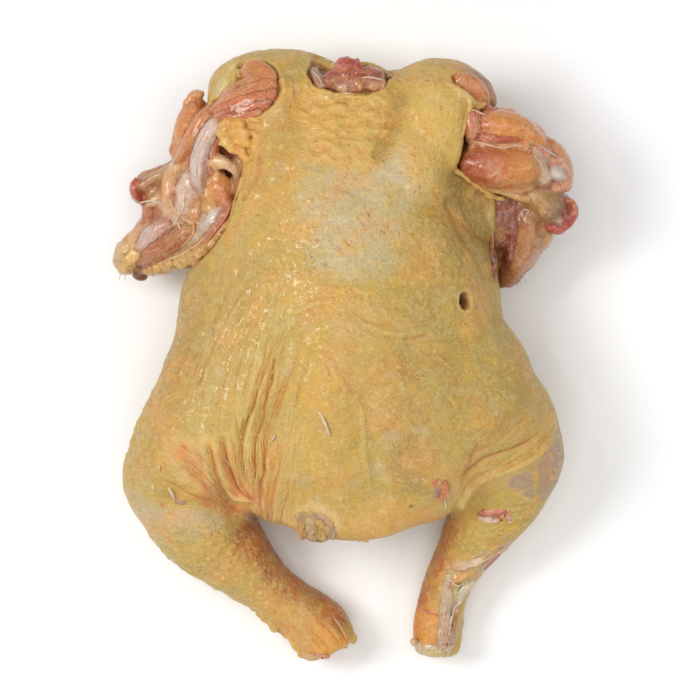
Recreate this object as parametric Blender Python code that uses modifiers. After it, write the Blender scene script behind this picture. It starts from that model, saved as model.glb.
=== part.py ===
"""A whole raw chicken, plucked and trimmed, lying on its breast with its back up.

The bird is one solid. It is blocked out the way a sculptor would: a torso lofted from cross-sections,
limbs as tapered tubes, and lobes of meat as egg shapes. A voxel remesh fuses the blocks into one body,
smoothing turns the joins into flesh, and a flat cut at the floor gives the breast its resting face.

Row frame: +Z is up from the table, +Y points from tail to neck, +X is the bird's own right-hand side
as seen from above. All sizes below are in millimetres unless a name says otherwise.
"""

import math
from collections import namedtuple

import bpy
from mathutils import Euler, Vector

MM = 0.001

# How the blocks are fused into one skin.
VOXEL = 2.4
SOFTEN_STEPS = 9
TRIANGLE_SHARE = 0.145
RING_POINTS = 20
TABLE_SIZE = 600.0

# Cross-sections of the torso, from the breast's front end to the tail. A section is two half ellipses:
# the back's, whose corners are squarer, above the widest line, and the breast's below it.
Section = namedtuple("Section", "y left right low widest high back breast")
TORSO = (
    Section(126, -37, 50, 30, 44, 58, 2.0, 2.0),
    Section(119, -51, 60, 14, 42, 68, 1.9, 2.1),
    Section(106, -59, 65, 7, 40, 75, 1.8, 2.2),
    Section(88, -62, 68, 2, 38, 80, 1.75, 2.4),
    Section(64, -67, 71, 0, 38, 85, 1.75, 2.5),
    Section(40, -72, 72, -1, 38, 89, 1.8, 2.5),
    Section(14, -77, 71, -1, 40, 92, 1.95, 2.4),
    Section(-12, -78, 74, 1, 42, 92, 2.2, 2.3),
    Section(-36, -74, 76, 5, 44, 88, 2.4, 2.2),
    Section(-56, -60, 64, 16, 46, 80, 2.5, 2.1),
    Section(-70, -45, 52, 27, 50, 71, 2.5, 2.0),
    Section(-80, -31, 40, 38, 53, 63, 2.4, 2.0),
)

# A limb is a list of (x, y, z, radius) from its root to its free end. A leg runs from the hip down the
# thigh, round the knee and along the drumstick to the hock, where the foot was cut off.
LEFT_LEG = (
    (-33, -9, 52, 31),
    (-54, -33, 44, 35.5),
    (-67.5, -55, 36, 30.5),
    (-62.5, -77, 29, 25),
    (-49.5, -93.5, 23, 18),
    (-35.5, -107, 18, 13),
    (-23.5, -117, 15, 12.5),
    (-11, -126.5, 14.5, 14.5),
    (-5.5, -138, 14, 13.5),
)
RIGHT_LEG = (
    (32, -4, 52, 29),
    (56.5, -26, 45, 36),
    (73, -44, 37, 27),
    (71, -63, 29, 21.5),
    (62.5, -79, 24, 17),
    (56, -90, 20, 13.5),
    (50, -101, 16.5, 11.5),
    (45.5, -113, 13.5, 11),
    (43.5, -125, 12.5, 12),
    (43, -140, 12, 11.5),
)

# The wings were half skinned and their tips cut off, so each is an upper arm of bare meat, a forearm
# tucked below it and the stub of the hand.
LEFT_UPPER_ARM = ((-38, 111, 55, 16), (-50, 95, 54, 14), (-58, 78, 49, 14), (-62, 62, 42, 13))
LEFT_OUTER_LOBE = ((-56, 105, 46, 11), (-64, 94, 45, 11.5), (-70, 83, 41, 10))
LEFT_FOREARM = ((-58, 61, 38, 15), (-75, 53, 31, 14), (-91, 46, 24, 13), (-102, 40.5, 20, 10))
LEFT_HAND = ((-66, 89, 38, 7.5), (-80, 81, 34, 7.5), (-93, 74, 31, 10))
RIGHT_UPPER_ARM = ((46, 96, 54, 16), (64, 90.5, 53, 17.5), (81, 81.5, 49, 16.5), (93, 73, 44, 13))
RIGHT_FOREARM = ((84, 74, 40, 13), (86, 61, 33, 13.5), (79, 46, 26, 12), (74, 33, 21, 8.5))
RIGHT_HAND = ((82, 76, 45, 7.5), (92, 70, 42, 8.5), (101.5, 62.5, 39, 10))

NECK_STUMP = ((6, 100, 58, 13), (6, 116, 60, 12.5), (6, 128, 59, 11))

# An egg is (centre, radii, turn in degrees about X, Y and Z).
EGGS = {
    "left breast": ((-27, 33, 31), (37, 74, 35), (0, 0, -4)),
    "right breast": ((27, 33, 31), (37, 74, 35), (0, 0, 4)),
    "left shoulder": ((-25, 111, 44), (38, 25, 26), (0, 0, -8)),
    "right shoulder": ((43, 107, 46), (27, 25, 27), (0, 0, 6)),
    "left elbow": ((-78, 70, 36), (15, 14, 11), (0, 0, 20)),
    "right elbow": ((72, 62, 40), (14, 17, 12), (0, 0, 20)),
    "left hip": ((-49, -15, 47), (33, 34, 33), (0, 0, 0)),
    "right hip": ((51, -13, 47), (34, 33, 33), (0, 0, 0)),
    "left knee": ((-76, -56, 34), (24, 26, 25), (0, 0, -20)),
    "right knee": ((79, -42, 34), (20, 25, 24), (0, 0, 15)),
    "tail": ((3, -65, 58), (38, 20, 13), (-14, 0, 0)),
    "tail stump": ((-11, -73, 58), (9, 8, 7), (-20, 0, 0)),
}


def clear_scene():
    """The startup scene's cube, camera and lamp aren't part of the bird."""
    for obj in list(bpy.data.objects):
        bpy.data.objects.remove(obj)


def collection(name):
    made = bpy.data.collections.new(name)
    bpy.context.scene.collection.children.link(made)
    return made


def corner(value, squareness):
    """A cosine or sine bent towards the corners of its box: 2 is an ellipse, more is squarer."""
    return math.copysign(abs(value) ** (2 / squareness), value)


def ring_of(section):
    """The points of one torso section, going round from the bird's right."""
    points = []
    for step in range(RING_POINTS):
        turn = 2 * math.pi * step / RING_POINTS
        across, up = math.cos(turn), math.sin(turn)
        side = section.right if across > 0 else -section.left
        squareness = section.back if up > 0 else section.breast
        depth = section.high - section.widest if up > 0 else section.widest - section.low
        x = side * corner(across, squareness)
        z = section.widest + depth * corner(up, squareness)
        points.append(Vector((x, section.y, z)) * MM)
    return points


def torso():
    """A cage lofted through the sections, rounded by Subdivision Surface."""
    rings = [ring_of(section) for section in TORSO]
    vertices = [point for ring in rings for point in ring]
    faces = [tuple(range(RING_POINTS))[::-1]]
    for first in range(0, len(vertices) - RING_POINTS, RING_POINTS):
        for step in range(RING_POINTS):
            following = (step + 1) % RING_POINTS
            near = (first + step, first + following)
            far = (first + RING_POINTS + following, first + RING_POINTS + step)
            faces.append(near + far)
    last = len(vertices) - RING_POINTS
    faces.append(tuple(range(last, len(vertices))))
    mesh = bpy.data.meshes.new("torso")
    mesh.from_pydata(vertices, [], faces)
    mesh.flip_normals()
    obj = bpy.data.objects.new("torso", mesh)
    bpy.context.scene.collection.objects.link(obj)
    rounding = obj.modifiers.new("Rounding", "SUBSURF")
    rounding.levels = 2
    rounding.render_levels = 2
    return obj


def limb(name, points):
    """A tapered tube through the points, as thick at each as its radius."""
    curve = bpy.data.curves.new(name, "CURVE")
    curve.dimensions = "3D"
    curve.bevel_depth = MM
    curve.bevel_resolution = 6
    curve.resolution_u = 6
    curve.use_fill_caps = True
    spline = curve.splines.new("BEZIER")
    spline.bezier_points.add(len(points) - 1)
    for knot, (x, y, z, radius) in zip(spline.bezier_points, points):
        knot.co = Vector((x, y, z)) * MM
        knot.radius = radius
        knot.handle_left_type = knot.handle_right_type = "AUTO"
    obj = bpy.data.objects.new(name, curve)
    bpy.context.scene.collection.objects.link(obj)
    return obj


def egg(name, centre, radii, turn):
    bpy.ops.mesh.primitive_uv_sphere_add(segments=24, ring_count=16, radius=1.0)
    obj = bpy.context.object
    obj.name = name
    obj.location = Vector(centre) * MM
    obj.rotation_euler = Euler([math.radians(angle) for angle in turn])
    obj.scale = Vector(radii) * MM
    return obj


def blocks():
    limbs = {
        "left leg": LEFT_LEG,
        "right leg": RIGHT_LEG,
        "left upper arm": LEFT_UPPER_ARM,
        "left outer lobe": LEFT_OUTER_LOBE,
        "left forearm": LEFT_FOREARM,
        "left hand": LEFT_HAND,
        "right upper arm": RIGHT_UPPER_ARM,
        "right forearm": RIGHT_FOREARM,
        "right hand": RIGHT_HAND,
        "neck stump": NECK_STUMP,
    }
    made = [torso()]
    made += [limb(name, points) for name, points in limbs.items()]
    made += [egg(name, *shape) for name, shape in EGGS.items()]
    return made


def joined(name, objects):
    """One mesh object that holds every block, overlapping, with the blocks themselves removed."""
    bpy.context.view_layer.update()
    graph = bpy.context.evaluated_depsgraph_get()
    vertices, faces = [], []
    for obj in objects:
        seen = obj.evaluated_get(graph)
        mesh = seen.to_mesh()
        start = len(vertices)
        vertices += [obj.matrix_world @ vertex.co for vertex in mesh.vertices]
        faces += [[start + index for index in face.vertices] for face in mesh.polygons]
        seen.to_mesh_clear()
    for obj in objects:
        bpy.data.objects.remove(obj)
    mesh = bpy.data.meshes.new(name)
    mesh.from_pydata(vertices, [], faces)
    return bpy.data.objects.new(name, mesh)


def centred(obj):
    """Moves the bird sideways so that the middle of its box stands over the origin."""
    bpy.context.view_layer.update()
    seen = obj.evaluated_get(bpy.context.evaluated_depsgraph_get())
    corners = [Vector(corner_point) for corner_point in seen.bound_box]
    for axis in (0, 1):
        values = [point[axis] for point in corners]
        obj.location[axis] = -(min(values) + max(values)) / 2


def table_cutter():
    """A slab whose top face is the table, which takes off what would sag below it."""
    bpy.ops.mesh.primitive_cube_add(size=1.0)
    slab = bpy.context.object
    slab.name = "table"
    slab.dimensions = Vector((TABLE_SIZE, TABLE_SIZE, TABLE_SIZE / 4)) * MM
    slab.location.z = -TABLE_SIZE / 8 * MM
    slab.hide_render = True
    slab.display_type = "WIRE"
    return slab


def skin_material():
    material = bpy.data.materials.new("raw skin")
    material.use_nodes = True
    shader = material.node_tree.nodes["Principled BSDF"]
    shader.inputs["Base Color"].default_value = (0.62, 0.41, 0.13, 1)
    shader.inputs["Roughness"].default_value = 0.42
    shader.inputs["Metallic"].default_value = 0.0
    return material


def chicken():
    bird = joined("chicken", blocks())
    collection("whole raw chicken").objects.link(bird)
    fuse = bird.modifiers.new("Fuse", "REMESH")
    fuse.mode = "VOXEL"
    fuse.voxel_size = VOXEL * MM
    soften = bird.modifiers.new("Soften", "SMOOTH")
    soften.factor = 0.5
    soften.iterations = SOFTEN_STEPS
    thin_out = bird.modifiers.new("Thin out", "DECIMATE")
    thin_out.ratio = TRIANGLE_SHARE
    centred(bird)
    slab = table_cutter()
    for owner in list(slab.users_collection):
        owner.objects.unlink(slab)
    collection("cutters").objects.link(slab)
    rest = bird.modifiers.new("Resting face", "BOOLEAN")
    rest.operation = "DIFFERENCE"
    rest.object = slab
    bird.data.materials.append(skin_material())
    return bird


clear_scene()
chicken()
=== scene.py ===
# %% [markdown]
# # A whole raw chicken on a pale table
#
# The bird was plucked, its head, feet and wing tips were cut off, and it lies on its breast. This lesson
# starts from the plain solid that the physics model uses, and turns it into skin, meat, fat and bone.
# The order is the sculptor's: big forms, then folds, then pores, then colour, then the loose pieces.
#
# Sizes are in millimetres, with +X to the bird's right side, +Y towards its neck and +Z up.

# %% Open the plain model
import math
from collections import namedtuple

import bmesh
import bpy
import numpy as np
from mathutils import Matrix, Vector, kdtree
from mathutils.bvhtree import BVHTree


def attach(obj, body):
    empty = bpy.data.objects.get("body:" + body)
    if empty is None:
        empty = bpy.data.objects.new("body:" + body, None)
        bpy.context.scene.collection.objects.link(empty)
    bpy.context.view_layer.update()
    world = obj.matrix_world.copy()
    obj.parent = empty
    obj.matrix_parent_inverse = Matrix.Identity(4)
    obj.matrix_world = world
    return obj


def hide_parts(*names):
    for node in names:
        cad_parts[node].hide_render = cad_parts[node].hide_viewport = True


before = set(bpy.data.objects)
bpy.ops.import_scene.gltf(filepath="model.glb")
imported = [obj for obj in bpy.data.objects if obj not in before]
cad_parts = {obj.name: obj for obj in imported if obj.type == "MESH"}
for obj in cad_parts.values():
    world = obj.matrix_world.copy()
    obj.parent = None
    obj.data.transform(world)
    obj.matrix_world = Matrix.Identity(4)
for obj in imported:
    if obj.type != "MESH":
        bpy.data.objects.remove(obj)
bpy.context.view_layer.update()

MM = 0.001
plain_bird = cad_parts["chicken"]
print("plain bird:", len(plain_bird.data.polygons), "faces")

# %% [markdown]
# ## Noise and strokes
#
# Everything organic needs two kinds of helper. *Noise* gives the unevenness that no two spots share.
# *Strokes* are curves drawn over the bird: a fold, a crease or a seam is a curve with a width, and every
# point of the skin asks how far it is from that curve. Both work on whole arrays of points at once,
# which is why they use numpy and not a loop over vertices.


# %% Noise over arrays of points
def lattice(cell, seed):
    """A random number from -1 to 1 for each whole-numbered cell, the same on every run."""
    mixed = cell[:, 0] * 374761393 + cell[:, 1] * 668265263 + cell[:, 2] * 1440662683 + seed * 974634777
    mixed = (mixed ^ (mixed >> 13)) * 1274126177 & 0xFFFFFFFF
    return ((mixed ^ (mixed >> 16)) & 0xFFFF) / 32767.5 - 1


def noise(points, size, seed=0, octaves=1):
    """Smooth noise from -1 to 1 whose blobs are about size across; each octave adds finer blobs."""
    total = np.zeros(len(points))
    strength = 1.0
    for octave in range(octaves):
        scaled = points / size * 2**octave
        cell = np.floor(scaled).astype(np.int64)
        part = scaled - cell
        part = part * part * part * (part * (part * 6 - 15) + 10)
        for corner in range(8):
            step = np.array([corner & 1, corner >> 1 & 1, corner >> 2 & 1])
            weight = np.prod(np.where(step, part, 1 - part), axis=1)
            total += strength * weight * lattice(cell + step, seed + octave)
        strength *= 0.5
    return total


def smooth(value, low, high):
    """0 below low, 1 above high, and an S-shaped step between them."""
    share = np.clip((value - low) / (high - low), 0, 1)
    return share * share * (3 - 2 * share)


# %% Strokes and outlines seen from above
def curve_through(knots, steps=8, closed=False):
    """Points of a smooth curve through the knots, each of which can carry more than x and y."""
    knots = np.array(knots, float)
    count = len(knots)
    spans = count if closed else count - 1
    made = []
    for span in range(spans):
        if closed:
            a, b, c, d = (knots[(span + shift) % count] for shift in (-1, 0, 1, 2))
        else:
            a, b, c, d = (knots[min(max(span + shift, 0), count - 1)] for shift in (-1, 0, 1, 2))
        for step in range(steps):
            t = step / steps
            bend = 2 * a - 5 * b + 4 * c - d
            twist = 3 * b - a - 3 * c + d
            made.append(b + 0.5 * t * (c - a + t * (bend + t * twist)))
    if not closed:
        made.append(knots[-1])
    return np.array(made)


def to_curve(points, curve):
    """Each point's distance from the curve, its place along it, and the side it is on (+ is left)."""
    best = np.full(len(points), np.inf)
    place = np.zeros(len(points))
    side = np.zeros(len(points))
    travelled = 0.0
    for start, end in zip(curve[:-1], curve[1:]):
        run = end - start
        length = np.hypot(*run) or 1e-9
        away = points - start
        share = np.clip(away @ run / length**2, 0, 1)
        gap = away - share[:, None] * run
        distance = np.hypot(gap[:, 0], gap[:, 1])
        nearer = distance < best
        best[nearer] = distance[nearer]
        place[nearer] = (travelled + share * length)[nearer]
        side[nearer] = np.sign(run[0] * away[:, 1] - run[1] * away[:, 0])[nearer]
        travelled += length
    return best, place / travelled, side


def inside(points, outline):
    """Each point's distance inside a closed outline, negative outside it."""
    ring = np.vstack([outline, outline[:1]])
    distance, _, _ = to_curve(points, ring)
    crossings = np.zeros(len(points), int)
    for start, end in zip(ring[:-1], ring[1:]):
        spans = (start[1] > points[:, 1]) != (end[1] > points[:, 1])
        rise = end[1] - start[1] or 1e-9
        at = start[0] + (points[:, 1] - start[1]) / rise * (end[0] - start[0])
        crossings += spans & (points[:, 0] < at)
    return np.where(crossings % 2 == 1, distance, -distance)


# %% [markdown]
# ## A fine skin over the plain solid
#
# The plain solid has a few thousand faces, too few for wrinkles. A voxel remesh wraps it in small even
# faces and a smoothing pass hides the old facets. The wings aren't skin but bare meat, so they are cut
# off here and rebuilt later: one prism on each side clears what is beside the body, and another clears
# a ledge for the part of the wing that lies over it. The side that lies on the table needs less detail
# than the side that shows, so Decimate thins it out and leaves the saving to the back.

# %% Wrap the body
SKIN_VOXEL = 1.0
SMOOTH_STEPS = 26
TABLE_SHARE = 0.56
FACES_DOWN = -0.12
TABLE_SIDE, LEDGE = -50, 27
WING_WALLS = {
    "beside left": (TABLE_SIDE,
        ((-61, 127), (-60, 100), (-64, 84), (-67, 60), (-69, 40), (-75, 29), (-140, 29), (-140, 127))),
    "beside right": (TABLE_SIDE,
        ((66, 127), (65, 104), (67, 88), (69, 60), (71, 28), (140, 24), (140, 127))),
    "over left": (LEDGE, (
        (-60, 108), (-53, 99), (-47, 95), (-44.4, 91), (-43.4, 86), (-43.8, 81), (-46, 75), (-48, 69),
        (-50, 60), (-55.6, 51.4), (-63.5, 43), (-73, 38), (-90, 38), (-90, 108),
    )),
    "over right": (LEDGE, (
        (56, 112), (52, 104), (51, 94), (50, 87), (46, 81), (52, 80), (60, 77), (69, 73), (73, 69),
        (74, 60), (73, 45), (70, 32), (90, 26), (90, 112),
    )),
}


def wall_cutter(name, level, outline):
    """A tall prism from this level up, which takes off everything outside a wall of the body."""
    mesh = bmesh.new()
    ring = [mesh.verts.new((x * MM, y * MM, level * MM)) for x, y in outline]
    mesh.faces.new(ring)
    grown = bmesh.ops.extrude_face_region(mesh, geom=list(mesh.faces))
    tops = [item for item in grown["geom"] if isinstance(item, bmesh.types.BMVert)]
    bmesh.ops.translate(mesh, vec=(0, 0, 0.2), verts=tops)
    bmesh.ops.recalc_face_normals(mesh, faces=list(mesh.faces))
    data = bpy.data.meshes.new(name)
    mesh.to_mesh(data)
    mesh.free()
    return bpy.data.objects.new(name, data)


def evaluated_mesh(obj):
    """The object's mesh with its modifiers applied, as a new mesh."""
    bpy.context.view_layer.update()
    graph = bpy.context.evaluated_depsgraph_get()
    return bpy.data.meshes.new_from_object(obj.evaluated_get(graph))


def coordinates(mesh):
    """The mesh's points in millimetres, as rows of x, y and z."""
    values = np.empty(len(mesh.vertices) * 3)
    mesh.vertices.foreach_get("co", values)
    return values.reshape(-1, 3) / MM


def normals_of(mesh):
    values = np.empty(len(mesh.vertices) * 3)
    mesh.vertices.foreach_get("normal", values)
    return values.reshape(-1, 3)


def move_to(mesh, points):
    mesh.vertices.foreach_set("co", (points * MM).ravel())
    mesh.update()


def fine_skin():
    """The bird without its wings, wrapped in small even faces and thinned out underneath."""
    body = bpy.data.objects.new("bird_skin", plain_bird.data.copy())
    bpy.context.scene.collection.objects.link(body)
    cutters = [wall_cutter(name, *wall) for name, wall in WING_WALLS.items()]
    for cutter in cutters:
        bpy.context.scene.collection.objects.link(cutter)
        cut = body.modifiers.new(cutter.name, "BOOLEAN")
        cut.operation = "DIFFERENCE"
        cut.object = cutter
    wrap = body.modifiers.new("Wrap", "REMESH")
    wrap.mode = "VOXEL"
    wrap.voxel_size = SKIN_VOXEL * MM
    soften = body.modifiers.new("Soften", "SMOOTH")
    soften.factor = 0.5
    soften.iterations = SMOOTH_STEPS
    wrapped = evaluated_mesh(body)
    body.modifiers.clear()
    body.data = wrapped
    for cutter in cutters:
        bpy.data.objects.remove(cutter)
    below = body.vertex_groups.new(name="towards the table")
    facing = normals_of(wrapped)[:, 2]
    low = np.nonzero(facing < FACES_DOWN)[0]
    below.add(low.tolist(), 1.0, "REPLACE")
    thin = body.modifiers.new("Thin the underside", "DECIMATE")
    thin.ratio = TABLE_SHARE
    thin.vertex_group = below.name
    thinned = evaluated_mesh(body)
    body.modifiers.clear()
    body.vertex_groups.clear()
    body.data = thinned
    return body


skin = fine_skin()
skin_mesh = skin.data
corner_count = sum(len(face.vertices) - 2 for face in skin_mesh.polygons)
print("skin:", len(skin_mesh.vertices), "points,", corner_count, "triangles")


# %% [markdown]
# ## Folds and creases
#
# Loose skin gathers where a limb bends: long folds run down the left flank into the groin, short ones
# fan out beside the tail, and a step marks where the right thigh tucks over its drumstick. Each is a
# stroke with a profile. A *ridge* is a rounded roll, a *crease* a sharp valley, and a *fold* is both
# side by side. Noise bends every stroke a little, because no real fold is a clean curve.

# %% Profiles of strokes
Stroke = namedtuple("Stroke", "kind width height knots")


def profile(kind, offset, width):
    """The height of a stroke at a signed offset from its middle line, for a stroke one unit high."""
    if kind == "ridge":
        return np.exp(-((offset / width) ** 2))
    if kind == "crease":
        return -np.exp(-np.abs(offset) / width)
    if kind == "fold":
        lip = np.exp(-(((offset - width) / width) ** 2))
        return lip - 0.9 * np.exp(-((offset / (0.55 * width)) ** 2))
    if kind == "step":
        return smooth(offset, -0.3 * width, 0.3 * width) * np.exp(-np.maximum(offset, 0) / (3 * width))
    raise ValueError(kind)


def pressed(points, stroke):
    """How far each point moves out along its normal for this stroke, faded towards the stroke's ends."""
    curve = curve_through(stroke.knots)
    reach = stroke.width * (9 if stroke.kind == "step" else 4)
    low, high = curve.min(axis=0) - reach, curve.max(axis=0) + reach
    near = np.all((points > low) & (points < high), axis=1)
    moved = np.zeros(len(points))
    distance, place, side = to_curve(points[near], curve)
    fade = smooth(place, 0.0, 0.18) * (1 - smooth(place, 0.82, 1.0))
    fade *= 1 - smooth(distance, 0.7 * reach, reach)
    moved[near] = stroke.height * fade * profile(stroke.kind, distance * side, stroke.width)
    return moved


def wobbled(points, seed=0):
    """The points seen from above, shifted about by noise, so that strokes on them come out uneven."""
    shift_x = 1.6 * noise(points, 17, seed + 3) + 0.5 * noise(points, 5, seed + 5)
    shift_y = 1.6 * noise(points, 17, seed + 7) + 0.5 * noise(points, 5, seed + 9)
    return points[:, :2] + np.stack([shift_x, shift_y], axis=1)


# %% Big forms of the back
# Each row: kind, half width, height (a valley when negative) and knots from above.
FORMS = (
    Stroke("ridge", 11, 3.0, ((-28, 128), (-32, 112), (-34, 94), (-33, 76))),
    Stroke("ridge", 12, 4.0, ((38, 128), (40, 112), (40, 98), (37, 82), (34, 66))),
    Stroke("ridge", 10, -2.6, ((6, 122), (4, 104), (4, 84), (0, 66))),
    Stroke("ridge", 4.5, -2.4, ((26, 122), (23, 111), (21, 101), (17, 92), (10, 87))),
    Stroke("ridge", 7, -2.2, ((-17, 122), (-16, 106), (-15, 92), (-12, 78))),
    Stroke("ridge", 9, -2.6, ((46, 78), (56, 62), (66, 48), (72, 30))),
    Stroke("ridge", 12, 2.4, ((34, 66), (46, 44), (58, 20), (64, 0))),
    Stroke("ridge", 12, -3.0, ((-20, 30), (-29, 8), (-36, -18), (-42, -42))),
    Stroke("ridge", 16, 2.0, ((-8, 12), (-10, -14), (-12, -40), (-10, -62))),
    Stroke("ridge", 10, -2.4, ((10, -4), (12, -28), (15, -52), (18, -70))),
    Stroke("ridge", 16, 2.6, ((38, 0), (44, -24), (42, -46), (34, -62))),
    Stroke("ridge", 9, -2.2, ((26, -12), (34, 4), (44, 12), (58, 12))),
    Stroke("ridge", 13, 2.6, ((-64, -6), (-74, -24), (-80, -44), (-76, -62))),
    Stroke("ridge", 7, -2.4, ((-84, -62), (-68, -66), (-52, -68), (-38, -70))),
)

# %% Folds of the skin
GROIN_FOLD = ((-31, -28), (-33, -40), (-35, -52), (-36, -62), (-36, -74))
LOW_THIGH_FOLD = ((-74, -46), (-66, -51), (-58, -59), (-50, -64), (-40, -68))
THIGH_FOLD = ((-76, -40), (-68, -45), (-60, -53), (-52, -61), (-42, -67))
FOLDS = (
    Stroke("fold", 2.5, 2.6,
        ((-26, 14), (-32, 7), (-36, -5), (-39, -17), (-43, -29), (-45, -41), (-44, -50), (-40, -62))),
    Stroke("fold", 1.6, 1.5,
        ((-22, 15), (-30, 4), (-32, -10), (-35, -25), (-38, -38), (-38.5, -50), (-37, -64))),
    Stroke("crease", 1.1, 0.7, ((-18, 8), (-26, -8), (-31, -26), (-34, -42), (-34, -58), (-35, -70))),
    Stroke("fold", 2.7, 2.8,
        ((-60, -32), (-58.4, -43), (-57, -52), (-51, -60.4), (-45, -63.6), (-38, -66))),
    Stroke("fold", 1.7, 1.5, ((-54, -30), (-52, -40), (-51, -48), (-47, -56), (-42, -60), (-38, -63))),
    Stroke("crease", 1.2, 0.9, THIGH_FOLD),
    Stroke("crease", 1.0, 0.7, LOW_THIGH_FOLD),
    Stroke("fold", 1.6, 1.3, GROIN_FOLD),
    Stroke("fold", 1.4, 0.9, ((-26, -40), (-28, -46), (-30, -58), (-31, -68), (-32, -78))),
    Stroke("crease", 1.2, 0.6, ((-23, -54), (-25, -62), (-27, -70), (-28, -78))),
    Stroke("step", 2.6, 3.0, ((96, -28), (87, -38), (79, -45), (66, -51), (57, -54), (52, -62), (47, -78))),
    Stroke("crease", 1.6, 1.4, ((88, -30), (76, -38), (64, -44), (54, -50), (50, -60))),
    Stroke("crease", 1.5, 0.9, ((60, -34), (56, -44), (52, -54))),
    Stroke("crease", 1.6, 1.3, ((44, 74), (47, 66), (56, 57), (66, 51), (73, 44))),
    Stroke("fold", 2.6, 0.9, ((44, 80), (48, 64), (58, 46), (66, 26), (70, 8))),
    Stroke("crease", 2.2, 0.6, ((42, 68), (50, 50), (58, 34), (63, 18))),
    Stroke("crease", 1.4, 1.0, ((-42, 44), (-50, 30), (-60, 12), (-68, -4))),
    Stroke("fold", 1.6, 0.9, ((-40, 36), (-48, 22), (-58, 2), (-66, -16))),
    Stroke("crease", 1.4, 0.8, ((-36, 30), (-43, 12), (-52, -8), (-58, -24))),
    Stroke("crease", 1.3, 0.8, ((-30, 34), (-37, 18), (-44, 0), (-50, -16))),
    Stroke("fold", 1.5, 0.9, ((-24, 18), (-18, 19), (-12, 22), (-6, 22))),
    Stroke("crease", 1.5, 0.9, ((-24, 12), (-16, 16), (-8, 18))),
    Stroke("crease", 1.3, 0.8, ((2, 22), (8, 17), (18, 14), (30, 16))),
    Stroke("fold", 1.5, 0.8, ((6, 14), (16, 10), (28, 8), (40, 10))),
    Stroke("ridge", 1.6, 0.9, ((-10, 2), (0, -12), (8, -24), (10, -44), (14, -62))),
    Stroke("crease", 2.4, 0.9, ((24, 116), (22.5, 106), (19, 96), (14, 90))),
    Stroke("crease", 1.0, 0.8, ((-84, -52), (-74, -56), (-62, -62), (-50, -67), (-42, -69))),
    Stroke("fold", 1.3, 0.8, ((-50, -20), (-46, -32), (-44.6, -44), (-42, -54), (-39, -62))),
    Stroke("crease", 1.0, 0.7, ((-60, 26), (-66, 12), (-72, -4), (-76, -18))),
    Stroke("crease", 1.0, 0.7, ((-46, 40), (-54, 22), (-62, 4), (-68, -14))),
    Stroke("crease", 1.0, 0.6, ((-33, 38), (-40, 26), (-46, 12), (-53, -4))),
    Stroke("crease", 1.0, 0.8, ((-20, 6), (-24, -6), (-28, -18), (-31, -30))),
    Stroke("crease", 0.9, 0.6, ((-12, 10), (-16, 0), (-20, -12), (-23, -26))),
    Stroke("crease", 0.9, 0.5, ((-12, 6), (-6, 2), (-2, -4))),
    Stroke("crease", 0.9, 0.5, ((-14, 3), (-9, -1), (-5, -7))),
    Stroke("crease", 1.0, 0.6, ((8, 26), (18, 22), (30, 20), (44, 18))),
    Stroke("crease", 1.0, 0.5, ((14, -2), (24, 2), (34, 0), (46, 4))),
    Stroke("crease", 1.0, 0.6, ((-16, 114), (-6, 112), (4, 114), (14, 111))),
    Stroke("crease", 1.0, 0.6, ((-12, 104), (-2, 106), (8, 104), (18, 107))),
    Stroke("crease", 1.0, 0.5, ((-14, 98), (-2, 100), (10, 97), (20, 99))),
    Stroke("crease", 1.0, 0.6, ((84, -22), (72, -32), (60, -40), (50, -46))),
    Stroke("crease", 1.0, 0.5, ((-26, -110), (-18, -119), (-12, -127), (-8, -134))),
    Stroke("crease", 0.9, 0.7, ((-18, -122), (-13, -125), (-8, -129), (-5, -134))),
    Stroke("crease", 0.9, 0.7, ((-17, -127), (-12, -130), (-8, -133.5), (-6, -136))),
    Stroke("crease", 0.9, 0.6, ((-14, -119), (-8, -121.5), (-3, -126), (0, -132))),
    Stroke("crease", 1.3, 1.1, ((-5, -117), (-2, -121), (1, -125), (2.6, -130))),
    Stroke("crease", 1.0, 0.8, ((47.6, -110), (48.6, -117), (48, -124), (46.6, -131))),
    Stroke("fold", 1.2, 1.0, ((51, -100), (53.6, -105), (51.6, -112), (50, -120))),
    Stroke("crease", 1.0, 0.7, ((66, -88), (60, -92), (55, -96), (51, -100))),
    Stroke("crease", 1.0, 0.8, ((44.6, -116), (43.6, -122), (43, -128), (42, -133))),
)


def shape(points, directions, strokes, seed=0):
    """Moves the points that face up out along their directions by the sum of the strokes."""
    seen = wobbled(points, seed)
    height = sum(pressed(seen, stroke) for stroke in strokes)
    height *= smooth(directions[:, 2], -0.1, 0.2)
    return points + directions * height[:, None], height


points = coordinates(skin_mesh)
points, _ = shape(points, normals_of(skin_mesh), FORMS)
move_to(skin_mesh, points)
print("big forms:", len(FORMS))


# %% [markdown]
# The bottom of a fold is a line thinner than the mesh can hold. So each point also keeps its signed
# distance to the nearest crease: the material reads zero distance off between the points, and draws
# a line there as thin as it likes.


# %% Distances to the creases
def crease_lines(seen, strokes):
    """For each point, the signed distance to the nearest crease, and how strong the crease is there."""
    offset = np.full(len(seen), 9.0)
    strength = np.zeros(len(seen))
    for stroke in strokes:
        if stroke.kind not in ("crease", "fold"):
            continue
        curve = curve_through(stroke.knots)
        close_by = (seen > curve.min(axis=0) - 4) & (seen < curve.max(axis=0) + 4)
        near = np.nonzero(np.all(close_by, axis=1))[0]
        distance, place, side = to_curve(seen[near], curve)
        closer = distance < np.abs(offset[near])
        ends = smooth(place, 0.02, 0.25) * (1 - smooth(place, 0.75, 0.98))
        offset[near[closer]] = (distance * side)[closer]
        strength[near[closer]] = (ends * min(stroke.height / 1.6, 1.0))[closer]
    return offset, strength * (1 - smooth(np.abs(offset), 1.5, 2.3))


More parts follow.
